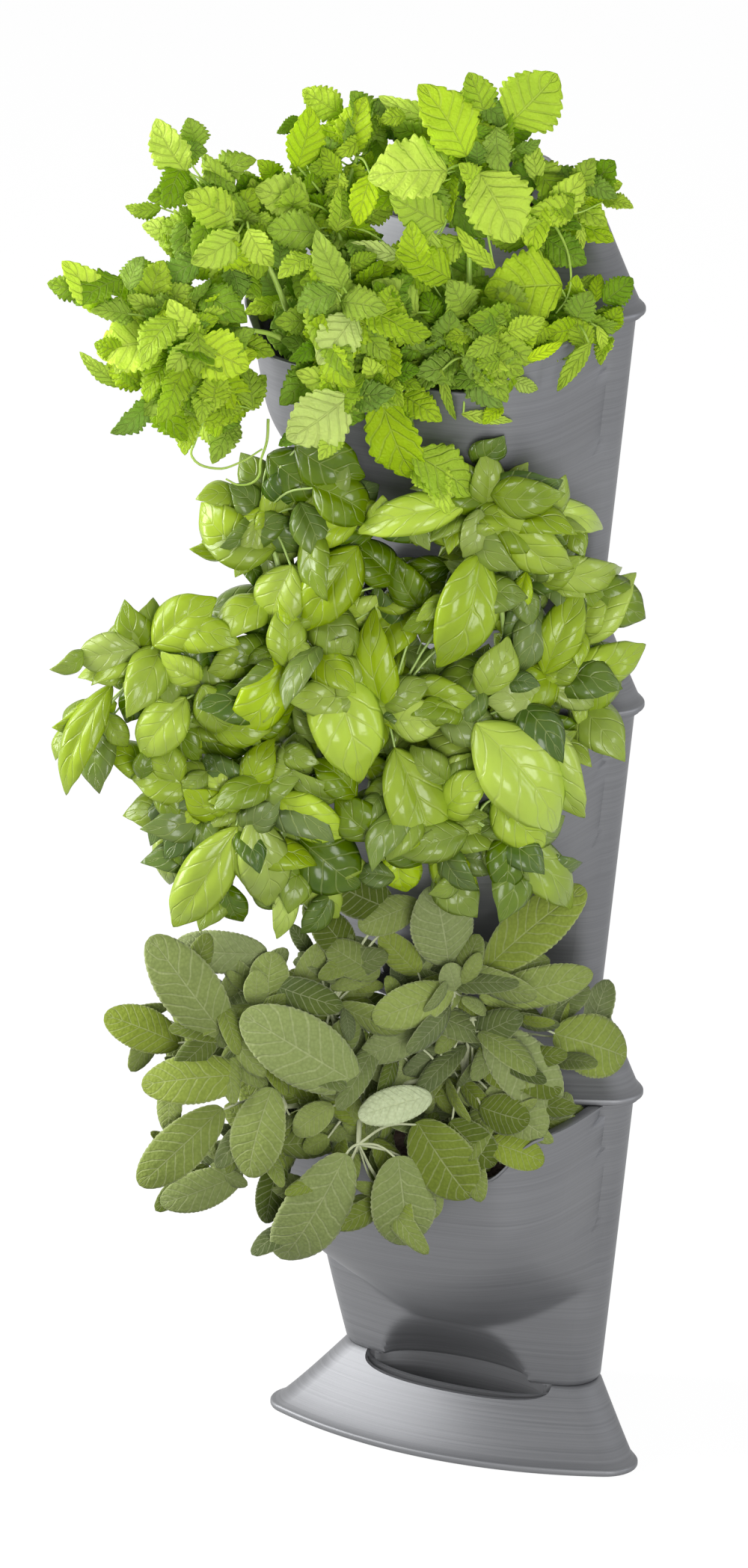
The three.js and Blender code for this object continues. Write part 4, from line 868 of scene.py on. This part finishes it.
LEMON_BALM = {
    "blade": leaf_blade("balm_blade", 40, 10, balm_outline, balm_relief),
    "small_blade": leaf_blade("small_balm_blade", 27, 4, balm_outline, balm_relief), "span": balm_span,
    "arch": 0.1, "cup": -0.16, "ripple": 0.14, "waves": 2.5, "droop": 0.35, "roll": 24, "level": 2,
    "shade_leaves": 320, "shade_length": (12, 26), "shade_width": (0.62, 0.85), "tone_range_with_painted_shade": (0.0, 0.75),
    "leaf_skin": lemon_balm_leaf(), "stem_skin": herb_stem("lemon_balm_stem", "#8fbc34", "#c6dc6c", 0.5),
}
LEMON_BALM_SPRIGS = {
  "left": {
    "root": [-45, -62],
    "hubs": [[-1, 405, 470, 92], [0, 333, 440, 104], [1, 262, 456, 112], [0, 332, 300, 84],
             [2, 260, 505, 112]],
    "trails": [
      [[280, 548, 112], [262, 590, 112], [258, 610, 112], [290, 626, 112], [322, 618, 111], [352, 600, 110]],
      [[360, 560, 104], [358, 590, 106], [350, 615, 108], [345, 640, 108], [322, 648, 108], [303, 640, 108]],
    ],
    "leaves": [
      [2, 141, 420, 108, 86, 347, 100, 50], [3, 251, 230, 82, 211, 158, 78, 57],
      [3, 251, 319, 74, 192, 299, 70, 38], [3, 316, 294, 92, 249, 258, 90, 57],
      [3, 322, 312, 100, 258, 352, 106, 52], [3, 334, 306, 102, 366, 356, 108, 45],
      [3, 300, 345, 84, 254, 368, 84, 34], [2, 213, 417, 104, 172, 394, 104, 28],
      [2, 221, 457, 112, 131, 470, 114, 85], [4, 169, 516, 102, 108, 470, 100, 25],
      [4, 251, 512, 120, 188, 552, 122, 56], [4, 251, 539, 110, 262, 587, 108, 30],
      [2, 262, 451, 116, 228, 401, 118, 44], [2, 269, 421, 100, 324, 398, 98, 46],
      [2, 258, 457, 122, 225, 497, 124, 36], [2, 264, 457, 118, 334, 493, 122, 72],
      [4, 274, 501, 112, 341, 539, 112, 50], [4, 280, 543, 102, 305, 581, 100, 52],
    ],
  },
  "middle": {
    "root": [-5, -66],
    "hubs": [[-1, 470, 455, 90], [0, 455, 300, 78], [0, 470, 405, 112], [0, 500, 512, 120],
             [1, 480, 210, 66]],
    "leaves": [
      [1, 399, 225, 68, 418, 143, 62, 55], [4, 473, 205, 62, 490, 129, 56, 55],
      [4, 499, 233, 84, 480, 302, 92, 40], [1, 416, 271, 84, 343, 252, 82, 62],
      [1, 458, 233, 72, 433, 197, 68, 28], [1, 381, 294, 72, 328, 264, 66, 50, 0.12, 0],
      [2, 460, 384, 116, 425, 310, 120, 45], [2, 477, 420, 118, 427, 487, 128, 60, 0.8, 0.5],
      [2, 485, 410, 112, 437, 418, 112, 36], [2, 488, 413, 118, 551, 447, 122, 60],
      [3, 515, 453, 112, 526, 522, 122, 48], [3, 466, 520, 118, 397, 497, 116, 40],
      [3, 468, 530, 124, 385, 589, 126, 82, 0.8, 0.5], [3, 509, 524, 122, 561, 646, 114, 75],
      [3, 552, 606, 122, 633, 662, 122, 70], [3, 505, 512, 118, 490, 478, 122, 34],
      [1, 538, 344, 88, 463, 327, 92, 26, 0.8, 0.5],
    ],
  },
  "right": {
    "root": [42, -64],
    "hubs": [[-1, 630, 440, 88], [0, 628, 225, 74], [1, 735, 285, 66], [0, 765, 432, 92], [0, 632, 478, 110]],
    "trails": [
      [[735, 290, 66], [750, 312, 72], [764, 354, 82], [761, 397, 90], [745, 420, 94]],
      [[690, 420, 100], [706, 440, 104], [709, 470, 108], [700, 505, 111], [677, 540, 113], [648, 548, 114]],
    ],
    "leaves": [
      [1, 626, 210, 80, 565, 112, 72, 80], [1, 600, 165, 60, 508, 130, 54, 36],
      [1, 652, 157, 58, 630, 97, 52, 50], [1, 683, 166, 60, 748, 100, 54, 92],
      [1, 653, 191, 56, 714, 176, 50, 46, 0.12, 0], [1, 601, 229, 88, 494, 237, 92, 95],
      [1, 643, 231, 86, 691, 325, 96, 98], [2, 721, 245, 62, 712, 185, 54, 28],
      [2, 735, 290, 68, 783, 231, 64, 48], [2, 783, 271, 56, 815, 264, 54, 26],
      [2, 727, 271, 76, 714, 340, 84, 44], [2, 779, 300, 62, 777, 344, 68, 14],
      [3, 798, 405, 84, 804, 367, 76, 22], [3, 798, 417, 88, 827, 428, 88, 22],
      [3, 800, 436, 98, 810, 476, 96, 16], [3, 792, 459, 112, 746, 524, 119, 24],
      [3, 754, 382, 86, 650, 390, 94, 98], [1, 664, 359, 100, 612, 304, 98, 25],
      [1, 580, 310, 92, 578, 375, 98, 42], [4, 635, 466, 112, 706, 486, 119, 54],
      [1, 596, 300, 96, 524, 262, 98, 58], [0, 604, 374, 104, 532, 336, 106, 56],
      [0, 566, 362, 106, 552, 296, 104, 46], [0, 560, 420, 108, 500, 376, 108, 52],
      [4, 706, 482, 121, 754, 459, 116, 18, 1, 0], [3, 773, 438, 98, 725, 447, 110, 40],
      [4, 630, 405, 94, 630, 455, 98, 60, 0.12, 0], [4, 643, 508, 120, 685, 509, 121, 24],
      [4, 618, 554, 120, 687, 564, 120, 18], [4, 687, 508, 120, 721, 522, 119, 22],
      [4, 614, 463, 106, 568, 501, 112, 40, 0.12, 0], [4, 591, 493, 118, 610, 564, 118, 15],
    ],
  },
}
for side, sprig in LEMON_BALM_SPRIGS.items():
    grow(LEMON_BALM, "lemon_balm", side, sprig, "upper")
for blade in ("blade", "small_blade"):
    bpy.data.objects.remove(LEMON_BALM[blade][0])


# Basil in the middle pot: plump glossy leaves, spoon shaped with a sunk midrib, that fold
# back from it, in opposite pairs at the tips of soft stems.
BASIL_VEINS = 5


def basil_span(v):
    t = np.where(v < 0.42, v / 0.42 * 0.5, 0.5 + (v - 0.42) / 0.58 * 0.5)
    return np.abs(np.sin(np.pi * t)) ** 0.7 * (1 - 0.3 * np.clip((v - 0.78) / 0.14, 0, 1) * (v < 0.97))


def basil_outline(u, v):
    return float(basil_span(v)) + 0.012


def basil_relief(u, v):
    puff = abs(math.sin(math.pi * BASIL_VEINS * (v - 0.3 * abs(u)))) ** 0.7
    half = abs(u)
    wing = 0.3 * half ** 0.8 - 0.42 * half ** 3.5
    along = math.sin(math.pi * min(1, v * 1.05 + 0.1))
    return (wing + 0.03 * puff * min(1, half * 4) * (1 - half ** 3)) * along


def basil_leaf():
    """Basil leaf: smooth and waxy, with a clear gloss over mid green and paler veins."""
    material = blank_material("basil_leaf")
    tree = material.node_tree
    veins = vein_mask(tree, BASIL_VEINS, 0.3, 0.045)
    colour = leaf_colours(tree, "#456a00", "#c6e214", "#f0f6c0", veins, "#e0f090", 0.34)
    place = put(tree, "ShaderNodeTexCoord")
    swell = put(tree, "ShaderNodeTexNoise", None, {
        "Vector": place.outputs["Object"], "Scale": 120.0, "Detail": 2.0})
    sunk = put(tree, "ShaderNodeMath", {"operation": "SUBTRACT"}, {0: swell.outputs["Fac"], 1: veins})
    relief = put(tree, "ShaderNodeBump", None, {
        "Strength": 0.5, "Distance": 0.001, "Height": sunk.outputs[0]})
    skin = put(tree, "ShaderNodeBsdfPrincipled", None, {
        "Base Color": colour, "Roughness": 0.22, "Normal": relief.outputs[0], "Specular IOR Level": 0.45})
    thin_leaf(tree, skin, colour, 0.3)
    return material


BASIL = {
    "blade": leaf_blade("basil_blade", 30, 14, basil_outline, basil_relief),
    "small_blade": leaf_blade("small_basil_blade", 16, 8, basil_outline, basil_relief), "span": basil_span,
    "arch": 0.15, "cup": 0.1, "ripple": 0.09, "waves": 1.3, "droop": 0.75, "roll": 26, "level": 1,
    "shade_leaves": 260, "shade_length": (16, 36), "shade_width": (0.55, 0.75), "tone_range_with_painted_shade": (0.0, 0.7),
    "leaf_skin": basil_leaf(), "stem_skin": herb_stem("basil_stem", "#8db04a", "#c4d884", 0.4),
}
BASIL_SPRIGS = {
  "left": {
    "root": [-45, -62],
    "hubs": [[-1, 400, 1010, 100], [0, 300, 925, 110], [1, 200, 880, 112], [0, 322, 1080, 124],
             [3, 265, 1060, 118]],
    "leaves": [
      [2, 150, 914, 108, 85, 1063, 112, 50], [2, 186, 865, 112, 99, 880, 110, 55],
      [2, 205, 863, 116, 287, 798, 114, 70], [2, 199, 903, 104, 167, 966, 104, 46, 0.12, 0],
      [1, 270, 911, 116, 216, 874, 120, 46], [1, 249, 932, 118, 186, 1014, 120, 66],
      [4, 266, 1052, 120, 176, 1038, 118, 60], [1, 340, 862, 112, 279, 903, 120, 52],
      [1, 272, 915, 122, 308, 989, 124, 56], [3, 329, 1067, 124, 363, 987, 122, 50],
      [3, 312, 1067, 122, 275, 1029, 120, 38], [3, 367, 1063, 128, 464, 1122, 132, 62],
      [4, 266, 1063, 122, 241, 1126, 118, 30], [4, 248, 1084, 112, 222, 1185, 108, 56],
      [3, 317, 1105, 130, 228, 1244, 124, 68], [3, 338, 1092, 132, 361, 1214, 126, 72],
      [3, 300, 1180, 112, 323, 1234, 110, 44, 0.12, 0], [3, 384, 1147, 122, 371, 1258, 112, 38, 0.95, 0.35],
      [3, 397, 1118, 116, 481, 1189, 120, 90, 0.12, 0], [3, 397, 1130, 108, 451, 1231, 104, 60],
      [3, 340, 1040, 120, 402, 1000, 122, 54, 0.45, 0.1], [3, 372, 1104, 122, 430, 1040, 124, 58],
      [1, 330, 980, 118, 392, 940, 118, 50, 0.3, 0], [3, 340, 1150, 118, 420, 1150, 118, 56, 0.3, 0],
    ],
  },
  "middle": {
    "root": [-5, -66],
    "hubs": [[-1, 500, 985, 100], [0, 397, 852, 112], [0, 518, 960, 120], [1, 350, 690, 96],
             [0, 585, 1105, 128]],
    "leaves": [
      [3, 392, 756, 110, 361, 840, 116, 75], [3, 355, 678, 98, 321, 737, 98, 45],
      [3, 346, 693, 102, 329, 754, 106, 34], [3, 359, 608, 96, 439, 663, 102, 75, 0.12, 0],
      [3, 414, 600, 92, 472, 684, 104, 62, 0.12, 0], [3, 480, 697, 110, 401, 726, 104, 46],
      [1, 480, 730, 114, 405, 844, 122, 74], [1, 384, 874, 118, 310, 989, 128, 74],
      [3, 396, 596, 104, 488, 640, 112, 84, 0.15, 0], [3, 420, 650, 112, 500, 694, 114, 70, 0.25, 0],
      [1, 500, 716, 104, 430, 690, 106, 62, 0.2, 0], [1, 530, 780, 108, 470, 724, 108, 60, 0.2, 0],
      [2, 566, 816, 110, 528, 746, 108, 58, 0.2, 0], [2, 612, 850, 112, 566, 796, 110, 52, 0.4, 0],
      [2, 640, 790, 108, 566, 838, 112, 54, 0.3, 0], [2, 470, 930, 122, 424, 880, 120, 50],
      [0, 476, 1066, 128, 418, 1014, 126, 54, 0.3, 0], [0, 506, 1120, 128, 448, 1066, 128, 62, 0.3, 0],
      [4, 566, 1154, 124, 500, 1100, 126, 58, 0.2, 0], [4, 566, 1090, 128, 520, 1030, 126, 52, 0.3, 0],
      [4, 600, 1046, 128, 548, 1000, 126, 54, 0.4, 0.1],
      [1, 392, 848, 118, 374, 798, 118, 27], [1, 397, 853, 122, 407, 903, 128, 36],
      [1, 439, 886, 118, 485, 1049, 134, 98], [1, 456, 828, 104, 527, 801, 104, 45],
      [2, 518, 957, 118, 498, 815, 112, 62], [2, 543, 919, 116, 640, 942, 128, 54],
      [2, 520, 962, 124, 598, 962, 130, 58], [2, 527, 1000, 126, 581, 1158, 134, 86],
      [4, 585, 1120, 126, 634, 1223, 122, 60], [4, 590, 1091, 124, 652, 1033, 137, 60],
      [4, 590, 1100, 128, 648, 1118, 128, 40], [4, 532, 1131, 116, 540, 1196, 116, 60],
    ],
  },
  "right": {
    "root": [42, -64],
    "hubs": [[-1, 690, 985, 96], [0, 650, 680, 118], [0, 728, 918, 104], [0, 640, 960, 120],
             [3, 636, 1098, 128],
      [2, 703, 762, 100]],
    "leaves": [
      [1, 648, 680, 116, 652, 602, 118, 50], [1, 679, 663, 113, 706, 620, 113, 30],
      [1, 670, 674, 118, 813, 707, 88, 45], [1, 661, 680, 122, 766, 770, 122, 72],
      [1, 643, 681, 124, 623, 748, 130, 42], [1, 625, 676, 122, 475, 710, 118, 54],
      [1, 600, 694, 112, 491, 707, 108, 55, 0.12, 0], [1, 643, 739, 126, 592, 899, 138, 85],
      [3, 643, 930, 122, 683, 855, 118, 60], [2, 728, 930, 112, 654, 940, 126, 68],
      [2, 728, 902, 108, 777, 788, 100, 60], [5, 706, 756, 100, 842, 768, 76, 50],
      [2, 782, 864, 92, 849, 765, 78, 60], [2, 746, 913, 102, 866, 864, 84, 60],
      [2, 732, 921, 108, 804, 940, 100, 40], [3, 636, 968, 133, 752, 1114, 137, 108],
      [3, 724, 960, 126, 777, 1102, 125, 68], [4, 636, 1100, 126, 777, 1216, 112, 74],
      [4, 661, 1064, 130, 728, 1136, 129, 68], [5, 607, 756, 104, 527, 774, 100, 36, 0.12, 0],
      [5, 697, 761, 98, 661, 739, 100, 30], [5, 705, 765, 102, 697, 828, 104, 30],
      [5, 661, 801, 96, 697, 855, 96, 40],
    ],
  },
}
for side, sprig in BASIL_SPRIGS.items():
    grow(BASIL, "basil", side, sprig, "middle")
for blade in ("blade", "small_blade"):
    bpy.data.objects.remove(BASIL[blade][0])


# Sage in the lower pot: long oval leaves, grey green and pebbled, with a fine pale scalloped edge,
# on thick pale stalks.
SAGE_VEINS = 9


def sage_span(v):
    t = np.where(v < 0.52, v / 0.52 * 0.5, 0.5 + (v - 0.52) / 0.48 * 0.5)
    return np.abs(np.sin(np.pi * t)) ** 0.5


def sage_outline(u, v):
    scallop = abs(math.sin(math.pi * v * 20))
    return float(sage_span(v)) * (1 - 0.035 * max(0, abs(u) - 0.8) / 0.2 * (1 - scallop)) + 0.012


def sage_relief(u, v):
    return 0.06 * min(1, abs(u) * 6) * math.sin(math.pi * v)


def sage_leaf():
    """Sage leaf: a soft matt down over tight pebbling, grey green, paler along edge and veins, with painted
    shade in the hollows of its pebbling.
    """
    material = blank_material("sage_leaf")
    tree = material.node_tree
    veins = vein_mask(tree, SAGE_VEINS, 0.2, 0.06)
    blade_map = put(tree, "ShaderNodeUVMap", {"uv_map": "UVMap"})
    split = put(tree, "ShaderNodeSeparateXYZ", None, {0: blade_map.outputs[0]})
    off = put(tree, "ShaderNodeMath", {"operation": "SUBTRACT"}, {0: split.outputs[0], 1: 0.5})
    side = put(tree, "ShaderNodeMath", {"operation": "ABSOLUTE"}, {0: off.outputs[0]})
    edge = put(tree, "ShaderNodeMapRange", None, {
        "Value": side.outputs[0], "From Min": 0.455, "From Max": 0.495})
    pale = put(tree, "ShaderNodeMath", {"operation": "MAXIMUM"}, {0: veins, 1: edge.outputs[0]})
    colour = leaf_colours(tree, "#3e5000", "#94a638", "#dce6c0", pale.outputs[0], "#e6ecb8", 0.3)
    place = put(tree, "ShaderNodeTexCoord")
    pebble = put(tree, "ShaderNodeTexVoronoi", None, {"Vector": place.outputs["Object"], "Scale": 620.0})
    # Darker in the pebbling's sunk cells: painted shade in its hollows.
    pit_shade_share = put(tree, "ShaderNodeMapRange", None, {
        "Value": pebble.outputs["Distance"], "From Min": 0.2, "From Max": 0.8, "To Max": 0.3})
    sunk = put(tree, "ShaderNodeMath", {"operation": "ADD"}, {0: pebble.outputs["Distance"], 1: veins})
    relief = put(tree, "ShaderNodeBump", {"invert": True}, {
        "Strength": 0.6, "Distance": 0.0006, "Height": sunk.outputs[0]})
    pitted = put(tree, "ShaderNodeMix", {"data_type": "RGBA", "blend_type": "MULTIPLY"}, {
        0: pit_shade_share.outputs[0], 6: colour, 7: hex_colour("#b4bc98")})
    skin = put(tree, "ShaderNodeBsdfPrincipled", None, {
        "Base Color": pitted.outputs[2], "Roughness": 0.72, "Normal": relief.outputs[0], "Sheen Weight": 0.12,
        "Sheen Roughness": 0.5, "Specular IOR Level": 0.25})
    thin_leaf(tree, skin, pitted.outputs[2], 0.16)
    return material


SAGE = {
    "blade": leaf_blade("sage_blade", 70, 12, sage_outline, sage_relief),
    "small_blade": leaf_blade("small_sage_blade", 30, 6, sage_outline, sage_relief), "span": sage_span,
    "arch": 0.08, "cup": 0.16, "ripple": 0.06, "waves": 1.2, "droop": 0.2, "roll": 16, "level": 0,
    "shade_leaves": 110, "shade_length": (16, 36), "shade_width": (0.34, 0.52), "tone_range_with_painted_shade": (0.0, 0.8),
    "leaf_skin": sage_leaf(), "stem_skin": herb_stem("sage_stem", "#a9b184", "#d3d8b4", 0.7),
}
SAGE_SPRIGS = {
  "left": {
    "root": [-45, -62],
    "hubs": [[-1, 380, 1480, 104], [0, 340, 1410, 112]],
    "leaves": [
      [1, 303, 1390, 116, 201, 1253, 112, 80], [1, 240, 1396, 100, 139, 1356, 96, 60, 0.9, 0],
      [1, 357, 1275, 96, 233, 1265, 92, 60], [1, 328, 1437, 120, 188, 1450, 122, 68],
      [0, 296, 1481, 118, 184, 1585, 122, 66], [0, 323, 1569, 110, 213, 1609, 112, 54],
      [0, 363, 1454, 124, 330, 1574, 130, 74], [1, 357, 1342, 106, 363, 1273, 102, 56],
      [1, 340, 1346, 112, 343, 1298, 112, 34], [0, 373, 1545, 112, 353, 1636, 106, 42, 0.12, 0],
    ],
  },
  "middle": {
    "root": [-5, -66],
    "hubs": [[-1, 480, 1480, 104], [0, 440, 1350, 100], [0, 478, 1530, 124], [0, 592, 1440, 112]],
    "leaves": [
      [0, 478, 1450, 122, 323, 1356, 128, 95], [1, 394, 1339, 104, 428, 1262, 98, 38],
      [2, 461, 1543, 128, 374, 1687, 120, 90], [0, 444, 1478, 112, 391, 1515, 112, 42],
      [0, 438, 1521, 112, 404, 1538, 112, 28], [1, 424, 1302, 92, 500, 1325, 96, 50],
      [0, 475, 1467, 110, 468, 1518, 112, 30], [3, 579, 1367, 108, 481, 1415, 112, 50],
      [3, 579, 1431, 104, 490, 1434, 104, 40], [1, 560, 1208, 100, 478, 1240, 98, 50],
      [3, 560, 1303, 96, 509, 1249, 98, 44], [0, 576, 1466, 122, 478, 1493, 130, 52, 1, 0.85],
      [2, 530, 1546, 128, 542, 1667, 126, 88], [2, 583, 1587, 120, 574, 1631, 120, 25],
      [2, 556, 1500, 124, 627, 1603, 128, 85],
      [1, 524, 1216, 98, 440, 1178, 94, 66, 0.2, 0], [1, 470, 1280, 98, 420, 1218, 94, 52, 0.2, 0],
      [1, 506, 1306, 102, 436, 1262, 100, 48, 0.5, 0.1], [3, 560, 1400, 110, 506, 1352, 110, 46],
      [1, 430, 1420, 112, 476, 1360, 110, 44, 0.4, 0.1],
    ],
  },
  "right": {
    "root": [42, -64],
    "hubs": [[-1, 620, 1440, 100], [0, 605, 1325, 104], [1, 648, 1297, 100], [0, 630, 1362, 108]],
    "leaves": [
      [1, 605, 1324, 110, 497, 1364, 118, 58], [1, 599, 1291, 104, 580, 1185, 112, 86],
      [2, 648, 1297, 105, 780, 1188, 102, 74], [2, 640, 1335, 104, 793, 1304, 88, 56],
      [3, 650, 1377, 112, 745, 1479, 118, 80], [3, 739, 1383, 98, 838, 1415, 84, 84],
      [0, 650, 1457, 114, 726, 1520, 121, 78], [0, 650, 1527, 119, 726, 1555, 120, 48, 0.9, 0],
      [1, 608, 1326, 110, 599, 1289, 112, 36], [3, 592, 1442, 108, 599, 1404, 110, 28],
      [3, 630, 1431, 108, 656, 1415, 110, 32], [1, 615, 1364, 100, 669, 1351, 98, 22, 0.9, 0],
      [0, 611, 1447, 104, 643, 1479, 106, 32],
      [3, 640, 1400, 112, 700, 1452, 120, 60, 0.5, 0], [0, 640, 1480, 118, 706, 1500, 126, 56, 0.3, 0],
      [3, 672, 1416, 112, 748, 1462, 118, 58, 0.3, 0], [0, 600, 1500, 122, 660, 1560, 126, 56, 0.2, 0],
    ],
  },
}
for side, sprig in SAGE_SPRIGS.items():
    grow(SAGE, "sage", side, sprig, "lower")
for blade in ("blade", "small_blade"):
    bpy.data.objects.remove(SAGE[blade][0])
